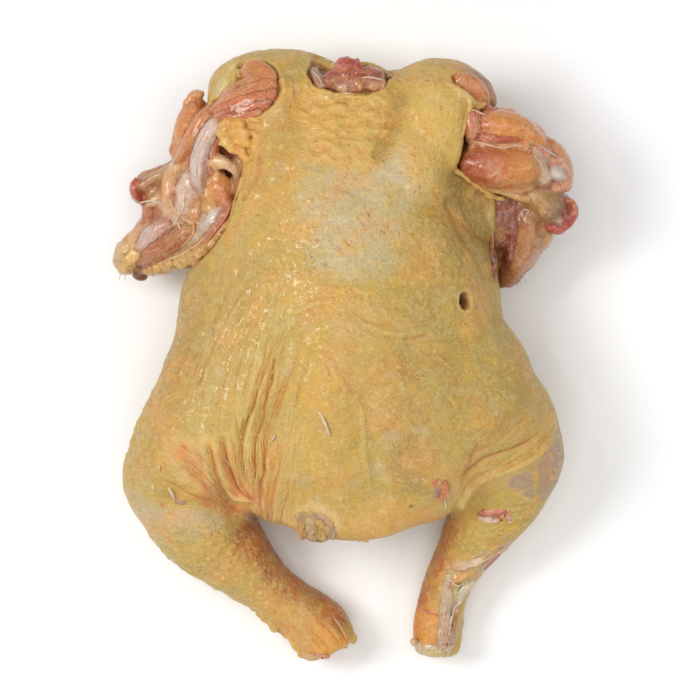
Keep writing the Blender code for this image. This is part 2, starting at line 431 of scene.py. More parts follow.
facing = smooth(normals_of(skin_mesh)[:, 2], 0.0, 0.3)
crease_offset, crease_strength = crease_lines(wobbled(points, 0), FOLDS)
crease_strength *= facing * (1 - 0.8 * smooth(points[:, 1], -16, 4))
points, fold_height = shape(points, normals_of(skin_mesh), FOLDS)
move_to(skin_mesh, points)
print("folds:", len(FOLDS), "from", round(fold_height.min(), 2), "to", round(fold_height.max(), 2), "mm")


# %% [markdown]
# ## Stretched skin and pores
#
# Skin pulled in one direction wrinkles finely along it, like combed hair. Each *comb* is a curve whose
# neighbourhood is combed along it. A point's place across and along its comb is kept on the mesh as
# `grain`, so that the material can draw lines far finer than the mesh. Where two combs meet, the
# weaker is taken from the stronger, and the lines fade out between them.

# %% Comb the skin
Comb = namedtuple("Comb", "reach strength knots")
COMBS = (
    Comb(17, 0.5, ((-46, 62), (-48, 44), (-50, 20), (-56, -4), (-62, -26), (-64, -42))),
    Comb(13, 1.0, ((-26, 36), (-31, 14), (-37, -10), (-42, -34), (-41, -56), (-37, -72))),
    Comb(12, 0.9, ((-20, -20), (-24, -40), (-27, -60), (-29, -84))),
    Comb(12, 1.0, ((-80, -34), (-68, -42), (-57, -53), (-47, -62), (-34, -70))),
    Comb(14, 0.3, ((-8, -30), (-8, -50), (-7, -70), (-6, -90))),
    Comb(14, 0.25, ((10, -36), (13, -54), (16, -72), (20, -92))),
    Comb(9, 0.4, ((-20, 112), (-8, 109), (4, 112), (16, 108), (28, 110))),
    Comb(9, 0.4, ((-20, 96), (-8, 94), (4, 97), (16, 92), (28, 95))),
    Comb(13, 0.4, ((46, 76), (54, 58), (63, 38), (70, 14), (74, -6))),
    Comb(14, 0.5, ((30, -18), (40, -34), (50, -50), (54, -70))),
    Comb(13, 0.6, ((96, -14), (82, -34), (66, -46), (52, -58))),
    Comb(12, 0.5, ((-2, 20), (12, 14), (28, 11), (46, 14))),
    Comb(13, 0.35, ((-44, -92), (-30, -106), (-17, -120), (-4, -138))),
    Comb(10, 0.25, ((52, -84), (47, -102), (42, -120), (40, -140))),
    Comb(12, 0.25, ((-34, 124), (-36, 106), (-38, 88), (-40, 66))),
    Comb(12, 0.25, ((40, 124), (42, 106), (40, 88), (40, 76))),
)


def combed(points):
    """Each point's place across and along its strongest comb, and how much stronger that comb is."""
    seen = points[:, :2]
    best = np.zeros(len(points))
    second = np.zeros(len(points))
    across = np.zeros(len(points))
    along = np.zeros(len(points))
    for comb in COMBS:
        curve = curve_through(comb.knots)
        distance, place, side = to_curve(seen, curve)
        length = np.hypot(*np.diff(curve, axis=0).T).sum()
        weight = comb.strength * (1 - smooth(distance, 0.35 * comb.reach, comb.reach))
        weight *= smooth(place, 0.0, 0.12) * (1 - smooth(place, 0.88, 1.0))
        stronger = weight > best
        second = np.where(stronger, best, np.maximum(second, weight))
        best = np.where(stronger, weight, best)
        across = np.where(stronger, distance * side, across)
        along = np.where(stronger, place * length, along)
    return across, along, best - second


def line_noise(across, along, spacing, length, seed):
    """Ridges of noise drawn out along the grain."""
    stretched = np.stack([across / spacing, along / length, np.zeros(len(across))], axis=1)
    return 1 - 2 * np.abs(noise(stretched, 1.0, seed))


WRINKLE_HEIGHT = 0.75
across, along, pull = combed(points)
pull *= smooth(normals_of(skin_mesh)[:, 2], -0.1, 0.3)
wrinkle = 0.6 * line_noise(across, along, 4.4, 30, 11) + 0.3 * line_noise(across, along, 2.6, 20, 12)
points = points + normals_of(skin_mesh) * (WRINKLE_HEIGHT * pull * (wrinkle - 0.3))[:, None]
move_to(skin_mesh, points)
print("combed points:", int((pull > 0.1).sum()))


# %% Pores
def cell_centres(points, spacing, seed):
    """Each point's distance to the nearest of the scattered centres, one to a cell."""
    scaled = points / spacing
    home = np.floor(scaled).astype(np.int64)
    nearest = np.full(len(points), np.inf)
    for shift in np.ndindex(3, 3, 3):
        cell = home + np.array(shift) - 1
        jitter = np.stack([lattice(cell, seed + axis) for axis in range(3)], axis=1)
        gap = scaled - (cell + 0.5 + 0.42 * jitter)
        nearest = np.minimum(nearest, np.einsum("ij,ij->i", gap, gap))
    return np.sqrt(nearest) * spacing


Patch = namedtuple("Patch", "amount soft outline")
PORE_PATCHES = (
    Patch(1.0, 12, ((-48, 128), (50, 128), (44, 70), (60, 30), (40, 8), (-20, 20), (-56, 40), (-50, 80))),
    Patch(0.8, 10, ((-100, -10), (-66, 0), (-48, -24), (-60, -40), (-96, -50))),
    Patch(1.1, 9, ((-90, -72), (-50, -72), (-30, -96), (-10, -122), (-34, -134), (-72, -108))),
    Patch(1.0, 9, ((52, -70), (92, -62), (70, -92), (50, -124), (36, -126), (44, -90))),
    Patch(0.7, 12, ((0, -10), (60, 6), (94, -20), (60, -44), (10, -40))),
)


def share_inside(points, patch):
    """0 outside a patch, 1 inside it and a smooth step across its soft edge."""
    depth = inside(points[:, :2], curve_through(patch.outline, 6, closed=True))
    return smooth(depth, -patch.soft / 2, patch.soft / 2)


def patched(points, patches):
    """How much each point is covered by soft-edged patches seen from above."""
    cover = np.zeros(len(points))
    for patch in patches:
        cover = np.maximum(cover, patch.amount * share_inside(points, patch))
    return cover


BUMP_HEIGHT = 0.85
LUMP_HEIGHT = 0.9
LUMPY = (Patch(1.0, 8, ((-18, 118), (-4, 115), (22, 116), (24, 98), (12, 88), (-12, 86), (-18, 98))),)
lumpy = patched(points, LUMPY) * noise(points * np.array((1, 1.6, 1)), 4.2, 57, octaves=2)
points = points + normals_of(skin_mesh) * (LUMP_HEIGHT * lumpy)[:, None]
pores = np.maximum(patched(points, PORE_PATCHES), 0.5 * smooth(-normals_of(skin_mesh)[:, 2], -0.2, 0.4))
pores *= 1 - 0.6 * np.clip(pull, 0, 1)
goose = 0.6 * np.exp(-((cell_centres(points, 4.0, 31) / 1.1) ** 2))
goose += 0.3 * np.exp(-((cell_centres(points, 2.7, 41) / 0.9) ** 2))


# %% Longer bumps in rows on the legs
Rows = namedtuple("Rows", "turn soft outline")
LEG_BUMPS = (
    Rows(-32, 8, ((-84, -74), (-48, -72), (-30, -92), (-12, -112), (-30, -124), (-60, -108))),
    Rows(52, 8, ((52, -66), (90, -62), (74, -88), (60, -104), (44, -100), (44, -84))),
    Rows(-20, 9, ((-98, -20), (-72, -20), (-62, -40), (-84, -56), (-100, -46))),
)
for field in LEG_BUMPS:
    turn = math.radians(field.turn)
    along_leg = points[:, 0] * math.cos(turn) + points[:, 1] * math.sin(turn)
    across_leg = points[:, 1] * math.cos(turn) - points[:, 0] * math.sin(turn)
    stretched = np.stack([along_leg / 1.9, across_leg, points[:, 2]], axis=1)
    row = np.exp(-((cell_centres(stretched, 2.5, 47) / 0.85) ** 2))
    share = share_inside(points, field)
    goose = goose * (1 - share) + share * row
rolling = 0.35 * noise(points, 9, 51, octaves=2) + 0.14 * noise(points, 3.2, 55, octaves=2)
points = points + normals_of(skin_mesh) * (BUMP_HEIGHT * pores * goose + rolling)[:, None]
points[:, 2] = np.maximum(points[:, 2], 0.0)
move_to(skin_mesh, points)
print("pores cover", round(float(pores.mean()), 2), "of the skin")


# %% [markdown]
# ## Windows in the skin
#
# The skin was torn away at both shoulders and cut at the neck, so bare meat shows through windows with
# a thin lip round them. The windows are pressed into the skin here, and the meat is laid in them later.
# A search tree of the whole skin is kept first: it says how high the skin lies under any spot, so that
# meat, quills and scars can be put on it.

# %% Find heights, then press the windows in
def tree_of(mesh):
    """A search tree of a mesh's faces, in millimetres."""
    corners = [tuple(face.vertices) for face in mesh.polygons]
    return BVHTree.FromPolygons(coordinates(mesh).tolist(), corners)


def top_of(tree, x, y):
    """How high the first surface under a spot lies, or None beside it."""
    hit = tree.ray_cast(Vector((x, y, 200.0)), Vector((0, 0, -1)))
    return hit[0].z if hit[0] else None


LEFT_WINDOW = (
    (-46.6, 130.4), (-41, 132.6), (-34.6, 131), (-30, 127), (-27.3, 120), (-28.5, 115), (-32, 110.5),
    (-37, 107), (-43, 105.4), (-51, 104.6), (-62, 104), (-62, 113), (-55, 115.4), (-49, 119.6),
    (-47.6, 125),
)
RIGHT_WINDOW = (
    (48, 125), (53, 125), (58, 124), (62.5, 121), (64, 113), (59, 112.4), (54, 115), (50.5, 118.5),
)
NECK_WINDOW = (
    (-15, 129), (-14, 120), (-6, 117), (2, 116), (13, 116.5), (19, 121), (22, 129), (16, 140), (-8, 140),
)
LIP_HEIGHT = 0.3
HOLLOWS = (
    Patch(2.4, 1.2, LEFT_WINDOW),
    Patch(2.0, 1.2, RIGHT_WINDOW),
    Patch(2.6, 1.4, NECK_WINDOW),
    Patch(8.5, 1.4, ((51.6, 27.6), (53.6, 28.6), (55.2, 26.4), (55.4, 23), (53.4, 21.8), (51.8, 24))),
)
skin_tree = tree_of(skin_mesh)
facing_up = smooth(normals_of(skin_mesh)[:, 2], 0.25, 0.6)
windows = np.zeros(len(points))
ragged_places = points[:, :2] + 0.5 * noise(points, 4, 91)[:, None]
for hollow in HOLLOWS:
    depth = inside(ragged_places, curve_through(hollow.outline, 6, closed=True))
    windows += hollow.amount * smooth(depth, -hollow.soft / 2, hollow.soft / 2) * facing_up
    windows -= LIP_HEIGHT * np.exp(-(((depth + 1.1) / 0.9) ** 2)) * facing_up
points = points - normals_of(skin_mesh) * windows[:, None]
move_to(skin_mesh, points)
whole_skin = 1 - smooth(windows, 0.3, 1.2)
pores *= whole_skin
pull *= whole_skin
print("windows pressed in:", len(HOLLOWS))


# %% [markdown]
# ## Valleys and crests
#
# Light reaches less far into a valley, and fat and blood gather there, so valleys are painted darker and
# more orange: painted shade mixed with that colour. Crests are painted pale, as a painted highlight. To
# paint both, each point is compared with the average of its neighbours, a few rings of them out: where
# the average lies above the skin, the point is in a valley.

# %% Compare each point with its neighbours
def hollowness(mesh, rounds):
    """How many millimetres each point lies below the average of its neighbourhood."""
    ends = np.empty(len(mesh.edges) * 2, np.int64)
    mesh.edges.foreach_get("vertices", ends)
    first, second = ends[0::2], ends[1::2]
    count = len(mesh.vertices)
    degree = np.bincount(ends, minlength=count)[:, None]
    here = coordinates(mesh)
    mean = here.copy()
    for _ in range(rounds):
        total = np.empty_like(mean)
        for axis in range(3):
            ahead = np.bincount(first, mean[second, axis], count)
            total[:, axis] = ahead + np.bincount(second, mean[first, axis], count)
        mean = 0.5 * mean + 0.5 * total / np.maximum(degree, 1)
    return np.einsum("ij,ij->i", mean - here, normals_of(mesh))


valley = hollowness(skin_mesh, 8)
broad_valley = hollowness(skin_mesh, 40)
print("valleys: from", round(float(valley.min()), 2), "to", round(float(valley.max()), 2), "mm")


# %% [markdown]
# ## Colour
#
# Skin with yellow fat under it runs from pale straw over bone to orange where the fat lies thick, and
# to olive where dark meat shows through. As in watercolour, a base tone gets *washes*: soft patches and
# streaks, each mixed in by an amount, with noise to break their edges. Some of them are painted shade
# or painted highlights, and say so where they stand. The result is stored on the mesh as `tint`, and
# the material adds the finer mottling.

# %% Washes
Wash = namedtuple("Wash", "colour amount soft outline")
Streak = namedtuple("Streak", "colour amount width knots")
BASE_TONE = (214, 178, 98)
SKIN_DEPTH = np.array((0.75, 0.715, 0.57))
WASHES = (
    # Darker olive over the right side: olive skin, and painted shade of the side that lies away from the
    # light.
    Wash((192, 160, 86), 0.8, 30,
        ((34, 76), (84, 76), (90, 20), (100, -20), (62, -44), (16, -30), (24, 20))),
    # A whitish patch high on the right of the back: a painted highlight.
    Wash((232, 222, 204), 0.6, 10, ((20, 96), (38, 96), (40, 80), (28, 72), (18, 80))),
    Wash((216, 210, 206), 0.6, 14, ((-16, 92), (22, 90), (26, 44), (8, 34), (-16, 44))),
    Wash((236, 190, 104), 0.85, 8,
        ((-20, 120), (-4, 117), (24, 118), (26, 100), (16, 86), (-14, 84), (-20, 98))),
    Wash((208, 160, 86), 0.85, 12, ((-46, 130), (-24, 126), (-22, 104), (-26, 80), (-44, 78))),
    Wash((228, 196, 108), 0.8, 12, ((30, 126), (50, 122), (52, 104), (44, 84), (28, 88), (26, 108))),
    Wash((192, 162, 82), 0.6, 16, ((-80, 36), (-58, 40), (-46, 10), (-60, -8), (-86, -10))),
    Wash((214, 184, 104), 0.55, 16, ((-56, 40), (-40, 40), (-44, 0), (-50, -30), (-66, -30), (-60, 0))),
    Wash((224, 180, 90), 0.75, 12, ((-16, 8), (-2, 0), (4, -30), (2, -64), (-14, -62), (-16, -30))),
    Wash((212, 184, 116), 0.6, 8, ((8, -8), (16, -14), (19, -40), (16, -66), (9, -64), (10, -34))),
    Wash((182, 142, 82), 0.7, 12, ((18, -24), (34, -24), (40, -44), (36, -60), (22, -58))),
    Wash((222, 170, 88), 0.75, 10, ((-4, -66), (14, -62), (38, -64), (42, -76), (20, -90), (-4, -88))),
    Wash((232, 176, 98), 0.85, 10, ((-44, -38), (-30, -36), (-20, -52), (-22, -84), (-40, -74))),
    Wash((255, 206, 146), 0.95, 8,
        ((-78, -36), (-60, -36), (-50, -44), (-38, -60), (-38, -70), (-50, -70), (-66, -58))),
    Wash((212, 192, 180), 0.8, 6, ((-99, -58), (-84, -64), (-66, -66), (-52, -69), (-60, -80), (-84, -84))),
    Wash((208, 180, 108), 0.7, 12,
        ((-92, -78), (-56, -78), (-38, -92), (-26, -112), (-46, -116), (-76, -100))),
    Wash((232, 160, 80), 0.85, 10,
        ((-34, -110), (-18, -112), (0, -124), (4, -136), (-12, -140), (-30, -128))),
    Wash((248, 164, 66), 0.9, 4, ((-12, -118), (-2, -120), (4, -128), (2, -135), (-6, -137), (-14, -130))),
    Wash((250, 150, 60), 0.95, 1.4,
        ((29, -115), (39, -114), (44, -117), (43, -124), (41, -131), (34, -131), (30, -124))),
    Wash((206, 180, 92), 0.8, 9, ((52, -64), (92, -60), (80, -80), (60, -86), (50, -82))),
    Wash((214, 168, 92), 0.6, 10, ((50, -58), (74, -46), (94, -34), (88, -26), (60, -38))),
    # Dark olive under the right wing: painted shade in the valley beneath it.
    Wash((160, 130, 66), 0.85, 10, ((45, 80), (56, 76), (70, 52), (70, 40), (58, 42), (47, 58))),
    Wash((222, 204, 92), 0.75, 2.0,
        ((-54, 127), (-50, 131), (-46.6, 130), (-46.4, 124), (-48, 121), (-53, 122))),
    Wash((224, 214, 190), 0.7, 1.6,
        ((-57, 119), (-54, 125), (-52, 124), (-48, 120), (-52, 117), (-57, 115))),
    Wash((190, 168, 150), 0.8, 3.0,
        ((50, 129), (58, 129), (65, 122), (69, 111), (65, 112), (62.6, 121), (57, 125.4))),
    Wash((232, 194, 118), 0.7, 2.0,
        ((46, 122), (50, 118), (56, 113.6), (62, 112), (58, 110), (50, 113), (44, 118))),
    Wash((232, 196, 130), 0.7, 1.6,
        ((73, -52), (78, -48.6), (84, -47.6), (90, -36), (86, -44), (84, -54), (86, -65), (78, -63),
        (73, -58))),
    Wash((190, 158, 156), 0.95, 0.8,
        ((74.3, -52.3), (78, -50.2), (82.6, -49.6), (84, -53), (84.2, -58), (85.6, -62.4), (82, -62.8),
        (77, -61), (74.2, -57.4))),
    Wash((182, 152, 146), 0.9, 1.2,
        ((86.6, -48), (90, -40), (94, -31), (99, -34), (99, -50), (95, -60), (90, -63.4), (86.6, -62.4),
        (87.6, -55))),
    Wash((226, 194, 170), 0.9, 2.5,
        ((78, -83.6), (66, -88), (54, -90), (46, -93), (45, -99), (56, -100), (65, -97.6), (77, -87))),
    Wash((208, 180, 184), 0.9, 1.2,
        ((76, -83), (70, -87.6), (65, -92.4), (60, -97.6), (62, -101), (68, -96), (75, -90), (79, -84.6))),
    Wash((220, 208, 190), 0.85, 2.0,
        ((61, -99), (55, -101), (50, -108), (47, -116), (52, -112), (57, -106))),
    Wash((206, 196, 178), 0.85, 1.6,
        ((54, -110), (48, -114), (45, -122), (43, -133), (49, -133), (53, -122))),
    Wash((222, 210, 196), 0.8, 1.6,
        ((30, -129), (36, -132), (44, -131), (48, -134), (44, -138), (34, -136), (28, -132))),
    Wash((172, 136, 122), 0.95, 0.8,
        ((-20, -70), (-16, -68), (-10, -68.5), (-4, -73.6), (-4, -80), (-12, -81), (-19, -80))),
    Wash((240, 210, 166), 0.8, 1.2,
        ((-21, -69), (-15, -64), (-8, -64.5), (-2, -72), (-3, -77), (-5, -73), (-10, -68.5), (-16, -68))),
    Wash((216, 178, 176), 0.8, 1.6,
        ((-25, -133), (-18, -135), (-11, -135), (-8, -138), (-16, -140), (-24, -138))),
    Wash((186, 140, 76), 0.5, 24,
        ((-36, 50), (-60, 46), (-74, 20), (-84, -10), (-94, -50), (-70, -34), (-52, 0), (-38, 24))),
    Wash((224, 112, 52), 0.8, 5, ((-60, -58), (-52, -62), (-42, -67), (-44, -71), (-56, -68), (-66, -62))),
    # Reddish brown along the inner edge of the left leg: the skin's own colour, darkened further as painted
    # shade where the leg turns down.
    Wash((150, 62, 30), 0.8, 8,
        ((-34, -66), (-26, -80), (-20, -90), (-8, -104), (2, -113), (2, -121), (-8, -121), (-22, -112),
        (-36, -100), (-44, -86), (-46, -74))),
)
BARE_TONE, BLOOD_TONE, DARK_TONE = (206, 198, 196), (206, 84, 48), (92, 70, 44)
# Each spot: x, y, half width and half height.
BARE_SPOTS = (
    (-27.4, 84, 1.8, 3.4), (-15, 66, 3.4, 1.8), (6, 58, 4.4, 2.2), (4.4, 50, 4.0, 2.6), (15, 44, 4.6, 2.2),
    (-9, 42, 3.6, 3.0), (46.4, 12, 3.4, 2.4), (-2, 47, 2.8, 1.8), (12, 52, 4.2, 2.0), (22, 56, 3.2, 2.0),
    (-15, -55, 2.4, 3.6), (-11, -62, 2.0, 2.4), (34, -30, 3.2, 2.2), (-56, -4, 1.6, 6.0),
    (-60, 10, 1.6, 5.0), (1, 70, 3.6, 2.4), (8, 66, 2.6, 3.0), (-6, 60, 3.2, 2.0), (-12, 54, 2.4, 2.0),
    (27, 66, 2.2, 2.6), (20, -8, 4.6, 2.0), (22, -34, 4.0, 5.0), (14, -46, 2.4, 5.0), (-24, -6, 1.8, 5.0),
    (-20, 78, 2.6, 2.0),
)
DARK_SPOTS = (
    (2.2, 94, 0.6, 0.6), (10.8, 95.6, 0.5, 0.4), (-9.6, 76.4, 0.4, 0.4), (30, -65.5, 0.6, 0.6),
    (46.4, -18.7, 0.5, 0.5), (37.7, 3.8, 0.4, 0.4), (-10.6, 60, 0.4, 0.3), (2, 63.6, 0.4, 0.3),
    (-32.6, 63, 0.4, 0.3), (-67, -50, 0.4, 0.4),
)
RED_SPOTS = (
    (-13.3, 51, 1.0, 1.0), (7.7, 10, 1.1, 1.1), (-80, -65, 0.8, 0.6), (42, -56, 2.2, 3.0),
    (-37, -105, 1.8, 0.9),
)
STREAKS = (
    # Reddish-brown streaks down the inner edges of both legs: the skin's colour, with painted shade where
    # each leg turns down.
    Streak((200, 108, 54), 0.95, 8.0,
        ((-40, -72), (-36, -84), (-27, -96), (-13, -108), (-1, -115), (6, -122))),
    Streak((170, 80, 46), 0.85, 3.0, ((-38, -70), (-32, -86), (-21, -98), (-7, -110), (2, -117))),
    Streak((206, 118, 60), 0.9, 5, ((49, -68), (45, -88), (39, -104), (33, -118))),
    Streak((196, 92, 52), 0.75, 2.6, ((45, -86), (42, -98), (37, -108), (32, -119))),
    Streak((216, 202, 184), 0.8, 1.4, ((46, -100), (46.4, -110), (45, -120), (43.6, -131))),
    # A dark olive line down the trough right of the neck: painted shade in the trough.
    Streak((150, 124, 56), 0.65, 3.0, ((26, 120), (23, 110), (21, 101), (17, 92), (10, 88))),
    Streak((232, 176, 84), 0.6, 2.4, ((-14, 92), (-4, 96), (6, 95), (16, 99), (24, 104))),
    Streak((236, 120, 74), 0.7, 1.6, THIGH_FOLD),
    Streak((236, 112, 70), 0.7, 1.2, ((-66, -38), (-62, -45), (-56, -56), (-46, -64))),
    Streak((236, 120, 76), 0.7, 1.2, LOW_THIGH_FOLD),
    Streak((220, 116, 80), 0.8, 2.0, ((-42, -44), (-42, -52), (-40, -60), (-37, -66))),
    Streak((236, 160, 90), 0.6, 2.2, GROIN_FOLD),
    Streak((234, 160, 92), 0.6, 2.2, ((-26, -34), (-28, -46), (-30, -58), (-31, -68), (-32, -78))),
    Streak((212, 136, 74), 0.5, 1.4, ((-22, -40), (-24, -52), (-27, -64), (-28, -78))),
    Streak((240, 196, 120), 0.6, 1.6, ((-34, -6), (-37, -18), (-40, -30), (-42, -44))),
    Streak((200, 140, 66), 0.4, 1.4,
        ((-28, 14), (-34, 4), (-38, -10), (-43, -26), (-46, -41), (-45, -52), (-41, -62))),
    Streak((226, 166, 112), 0.45, 3.0, ((-10, 4), (2, -8), (8, -20))),
    Streak((226, 168, 110), 0.45, 3.0, ((-8, 36), (-4, 24), (2, 12), (2, 0))),
    # Painted shade in the valley under the right wing.
    Streak((150, 116, 60), 0.7, 4.0, ((46, 74), (56, 58), (68, 48))),
    Streak((110, 66, 44), 0.9, 0.8, ((-52.6, 120), (-50, 121.4), (-47.6, 121.6))),
    Streak((244, 238, 226), 0.8, 0.7, ((-54, 116), (-52, 122), (-50, 127), (-46, 131.6))),
    Streak((196, 110, 60), 0.7, 1.2, ((-38.6, 92), (-38, 84), (-40.6, 75), (-45, 67))),
    # A dark line along the skin's edge under the right wing: painted shade.
    Streak((150, 100, 54), 0.7, 1.6, ((50, 80), (56, 76), (64, 70.6), (71, 68))),
    Streak((255, 150, 100), 0.7, 4.0, ((-74, -40), (-66, -44), (-58, -52), (-50, -60), (-42, -66))),
    Streak((234, 96, 66), 0.85, 1.8, ((-71, -38.6), (-66, -41), (-61, -45), (-58, -50))),
    Streak((240, 120, 70), 0.85, 2.8, ((-60, -60.6), (-53, -62.6), (-47, -65.4), (-42, -67.4))),
    Streak((236, 110, 84), 0.85, 1.5, ((-53, -42), (-49, -50), (-45, -56), (-41, -60))),
    # Pale streaks along the crests of the groin folds: painted highlights.
    Streak((250, 212, 130), 0.85, 1.4, ((-32, 2), (-36.6, -10), (-39.4, -22), (-42, -34), (-43, -44))),
    Streak((250, 208, 130), 0.85, 1.9, ((-59, -38), (-57.6, -47), (-53, -55), (-46, -61), (-40, -65))),
    Streak((238, 196, 110), 0.6, 1.0, ((96, -24), (87, -34), (79, -41), (66, -47), (57, -50), (52, -58))),
    Streak((250, 172, 104), 0.6, 4.0, ((-53, -34), (-51, -46), (-47, -56), (-41, -62))),
    # More painted highlights along the crests of the two long groin folds.
    Streak((252, 222, 150), 0.9, 1.9,
        ((-28, 10), (-34, 2), (-38, -12), (-43, -29), (-45, -41), (-44, -50), (-40, -62))),
    Streak((254, 220, 148), 0.9, 2.0,
        ((-60, -30), (-58.4, -43), (-57, -52), (-51, -60.4), (-45, -63.6), (-38, -66))),
    Streak((186, 70, 38), 0.8, 0.9, ((-47.6, -36), (-47.6, -46), (-45, -54), (-41, -60), (-38.6, -64))),
    Streak((200, 84, 46), 0.7, 0.9, ((-54.6, -38), (-54.4, -48), (-50, -56), (-44, -61))),
    Streak((200, 84, 44), 0.6, 0.8, ((-33, -54), (-34, -62), (-34, -70), (-33, -76))),
    Streak((206, 96, 50), 0.5, 0.7, ((-29, -56), (-30, -64), (-30, -72), (-30, -78))),
)


SHARP_WASH = 5


def covered(tone, cover, colour):
    """Lays a colour over tones by each point's share of cover."""
    return tone + cover[:, None] * (np.array(colour) - tone)


def painted(points):
    """The tone of each point as numbers from 0 to 255, before the material's mottling."""
    seen = wobbled(points, 61)
    ragged = 2.4 * noise(points, 6, 71, octaves=2)
    upward = smooth(normals_of(skin_mesh)[:, 2], -0.35, 0.1)
    tone = np.tile(np.array(BASE_TONE, float), (len(points), 1))
    for wash in WASHES:
        depth = inside(seen, curve_through(wash.outline, 6, closed=True))
        depth += ragged * min(wash.soft / 6, 1)
        cover = wash.amount * smooth(depth, -wash.soft / 2, wash.soft / 2)
        if wash.soft < SHARP_WASH:
            cover = cover * upward
        tone = covered(tone, cover, wash.colour)
    for streak in STREAKS:
        distance, place, _ = to_curve(seen, curve_through(streak.knots))
        cover = streak.amount * np.exp(-((distance / streak.width) ** 2))
        cover *= smooth(place, 0, 0.15) * (1 - smooth(place, 0.85, 1)) * upward
        tone = covered(tone, cover, streak.colour)
    sorts = ((BARE_TONE, 0.42, BARE_SPOTS), (BLOOD_TONE, 0.8, RED_SPOTS), (DARK_TONE, 0.8, DARK_SPOTS))
    for spot_tone, strength, spots in sorts:
        for x, y, wide, tall in spots:
            gap = np.hypot((seen[:, 0] - x) / wide, (seen[:, 1] - y) / tall) + 0.22 * ragged
            tone = covered(tone, strength * (1 - smooth(gap, 0.6, 1.25)), spot_tone)
    # Each row: where, amount, share of each point, tone.
    # Folds and broad hollows get painted shade, orange where fat gathers; crests get a painted highlight;
    # the deep middle of the puncture gets a near-black painted shadow.
    shades = (
        ("folds", 0.28, smooth(valley, 0.06, 0.5), (214, 122, 60)),
        ("hollows", 0.2, smooth(broad_valley, 0.3, 2.2), (206, 132, 66)),
        ("crests", 0.45, smooth(-valley, 0.08, 0.45), (246, 216, 136)),
        ("pores", 0.34, smooth(pores * goose, 0.22, 0.6), (250, 204, 122)),
        ("window walls", 1.0, smooth(windows, 0.8, 2.4), (150, 78, 48)),
        ("window depths", 1.0, smooth(windows, 3.6, 5.0), (20, 12, 8)),
        ("window lips", 0.8, smooth(-windows, 0.2, 0.5), (240, 216, 170)),
    )
    for _, amount, cover, shade in shades:
        tone = covered(tone, amount * cover, shade)
    return tone


def to_linear(tone):
    """Screen colour, 0 to 255, to the linear light that materials work in."""
    share = np.clip(tone / 255, 0, 1)
    return np.where(share <= 0.04045, share / 12.92, ((share + 0.055) / 1.055) ** 2.4)


def keep_colour(mesh, name, linear):
    """Stores a colour for each point, for the material to read by name."""
    layer = mesh.attributes.new(name, "FLOAT_COLOR", "POINT")
    filled = np.ones((len(linear), 4))
    filled[:, : linear.shape[1]] = linear
    layer.data.foreach_set("color", filled.ravel())


def keep_vector(mesh, name, values):
    """Stores three numbers for each point, for the material to read by name."""
    layer = mesh.attributes.new(name, "FLOAT_VECTOR", "POINT")
    layer.data.foreach_set("vector", np.ascontiguousarray(values).ravel())


tone = painted(points)
keep_colour(skin_mesh, "tint", SKIN_DEPTH * to_linear(tone))
keep_vector(skin_mesh, "grain", np.stack([across, along, pull], axis=1))
keep_vector(skin_mesh, "marks", np.stack([pores, crease_offset, crease_strength], axis=1))
print("painted with", len(WASHES) + len(STREAKS), "washes and streaks")

# %% [markdown]
# ## Materials
#
# Wet skin scatters light from many small bumps, so most of its look is in the fine relief. Each kind
# of relief is a node group, built once: pores, lines drawn out along the grain, mottling and thin
# veins. A material places the groups it needs, with its own values.


# %% Node helpers
def add_node(tree, kind, **settings):
    """A new node with its settings filled in."""
    made = tree.nodes.new(kind)
    for name, value in settings.items():
        setattr(made, name, value)
    return made


def connect(tree, source, target):
    """Feeds a socket, or a plain number or colour, into an input socket."""
    if isinstance(source, bpy.types.NodeSocket):
        tree.links.new(source, target)
    else:
        target.default_value = source


def maths(tree, operation, first, second=0.0, clamp=False):
    """One step of arithmetic on sockets or numbers."""
    made = add_node(tree, "ShaderNodeMath", operation=operation, use_clamp=clamp)
    connect(tree, first, made.inputs[0])
    connect(tree, second, made.inputs[1])
    return made.outputs[0]


def scaled_vector(tree, vector, factors):
    made = add_node(tree, "ShaderNodeVectorMath", operation="MULTIPLY")
    connect(tree, vector, made.inputs[0])
    made.inputs[1].default_value = factors
    return made.outputs[0]


def parts_of(tree, vector):
    """The X, Y and Z of a vector as sockets."""
    made = add_node(tree, "ShaderNodeSeparateXYZ")
    connect(tree, vector, made.inputs[0])
    return made.outputs


def noise_of(tree, vector, scale, detail=2.0, roughness=0.5):
    made = add_node(tree, "ShaderNodeTexNoise")
    connect(tree, vector, made.inputs["Vector"])
    made.inputs["Scale"].default_value = scale
    made.inputs["Detail"].default_value = detail
    made.inputs["Roughness"].default_value = roughness
    return made.outputs["Fac"]


def between(tree, value, low, high):
    """A smooth step from 0 at low to 1 at high."""
    made = add_node(tree, "ShaderNodeMapRange", interpolation_type="SMOOTHSTEP")
    connect(tree, value, made.inputs["Value"])
    made.inputs["From Min"].default_value = low
    made.inputs["From Max"].default_value = high
    return made.outputs["Result"]


def tinted(tree, share, amount, colour, tone):
    """Mixes a tone into a colour by a share times an amount."""
    made = add_node(tree, "ShaderNodeMix", data_type="RGBA")
    connect(tree, maths(tree, "MULTIPLY", share, amount), made.inputs["Factor"])
    connect(tree, colour, made.inputs["A"])
    connect(tree, (*(SKIN_DEPTH * to_linear(np.array(tone, float))), 1), made.inputs["B"])
    return made.outputs["Result"]


def ranged(tree, value, start, end):
    """A value from 0 to 1, drawn out from start to end."""
    made = add_node(tree, "ShaderNodeMapRange")
    connect(tree, value, made.inputs["Value"])
    made.inputs["To Min"].default_value = start
    made.inputs["To Max"].default_value = end
    return made.outputs["Result"]


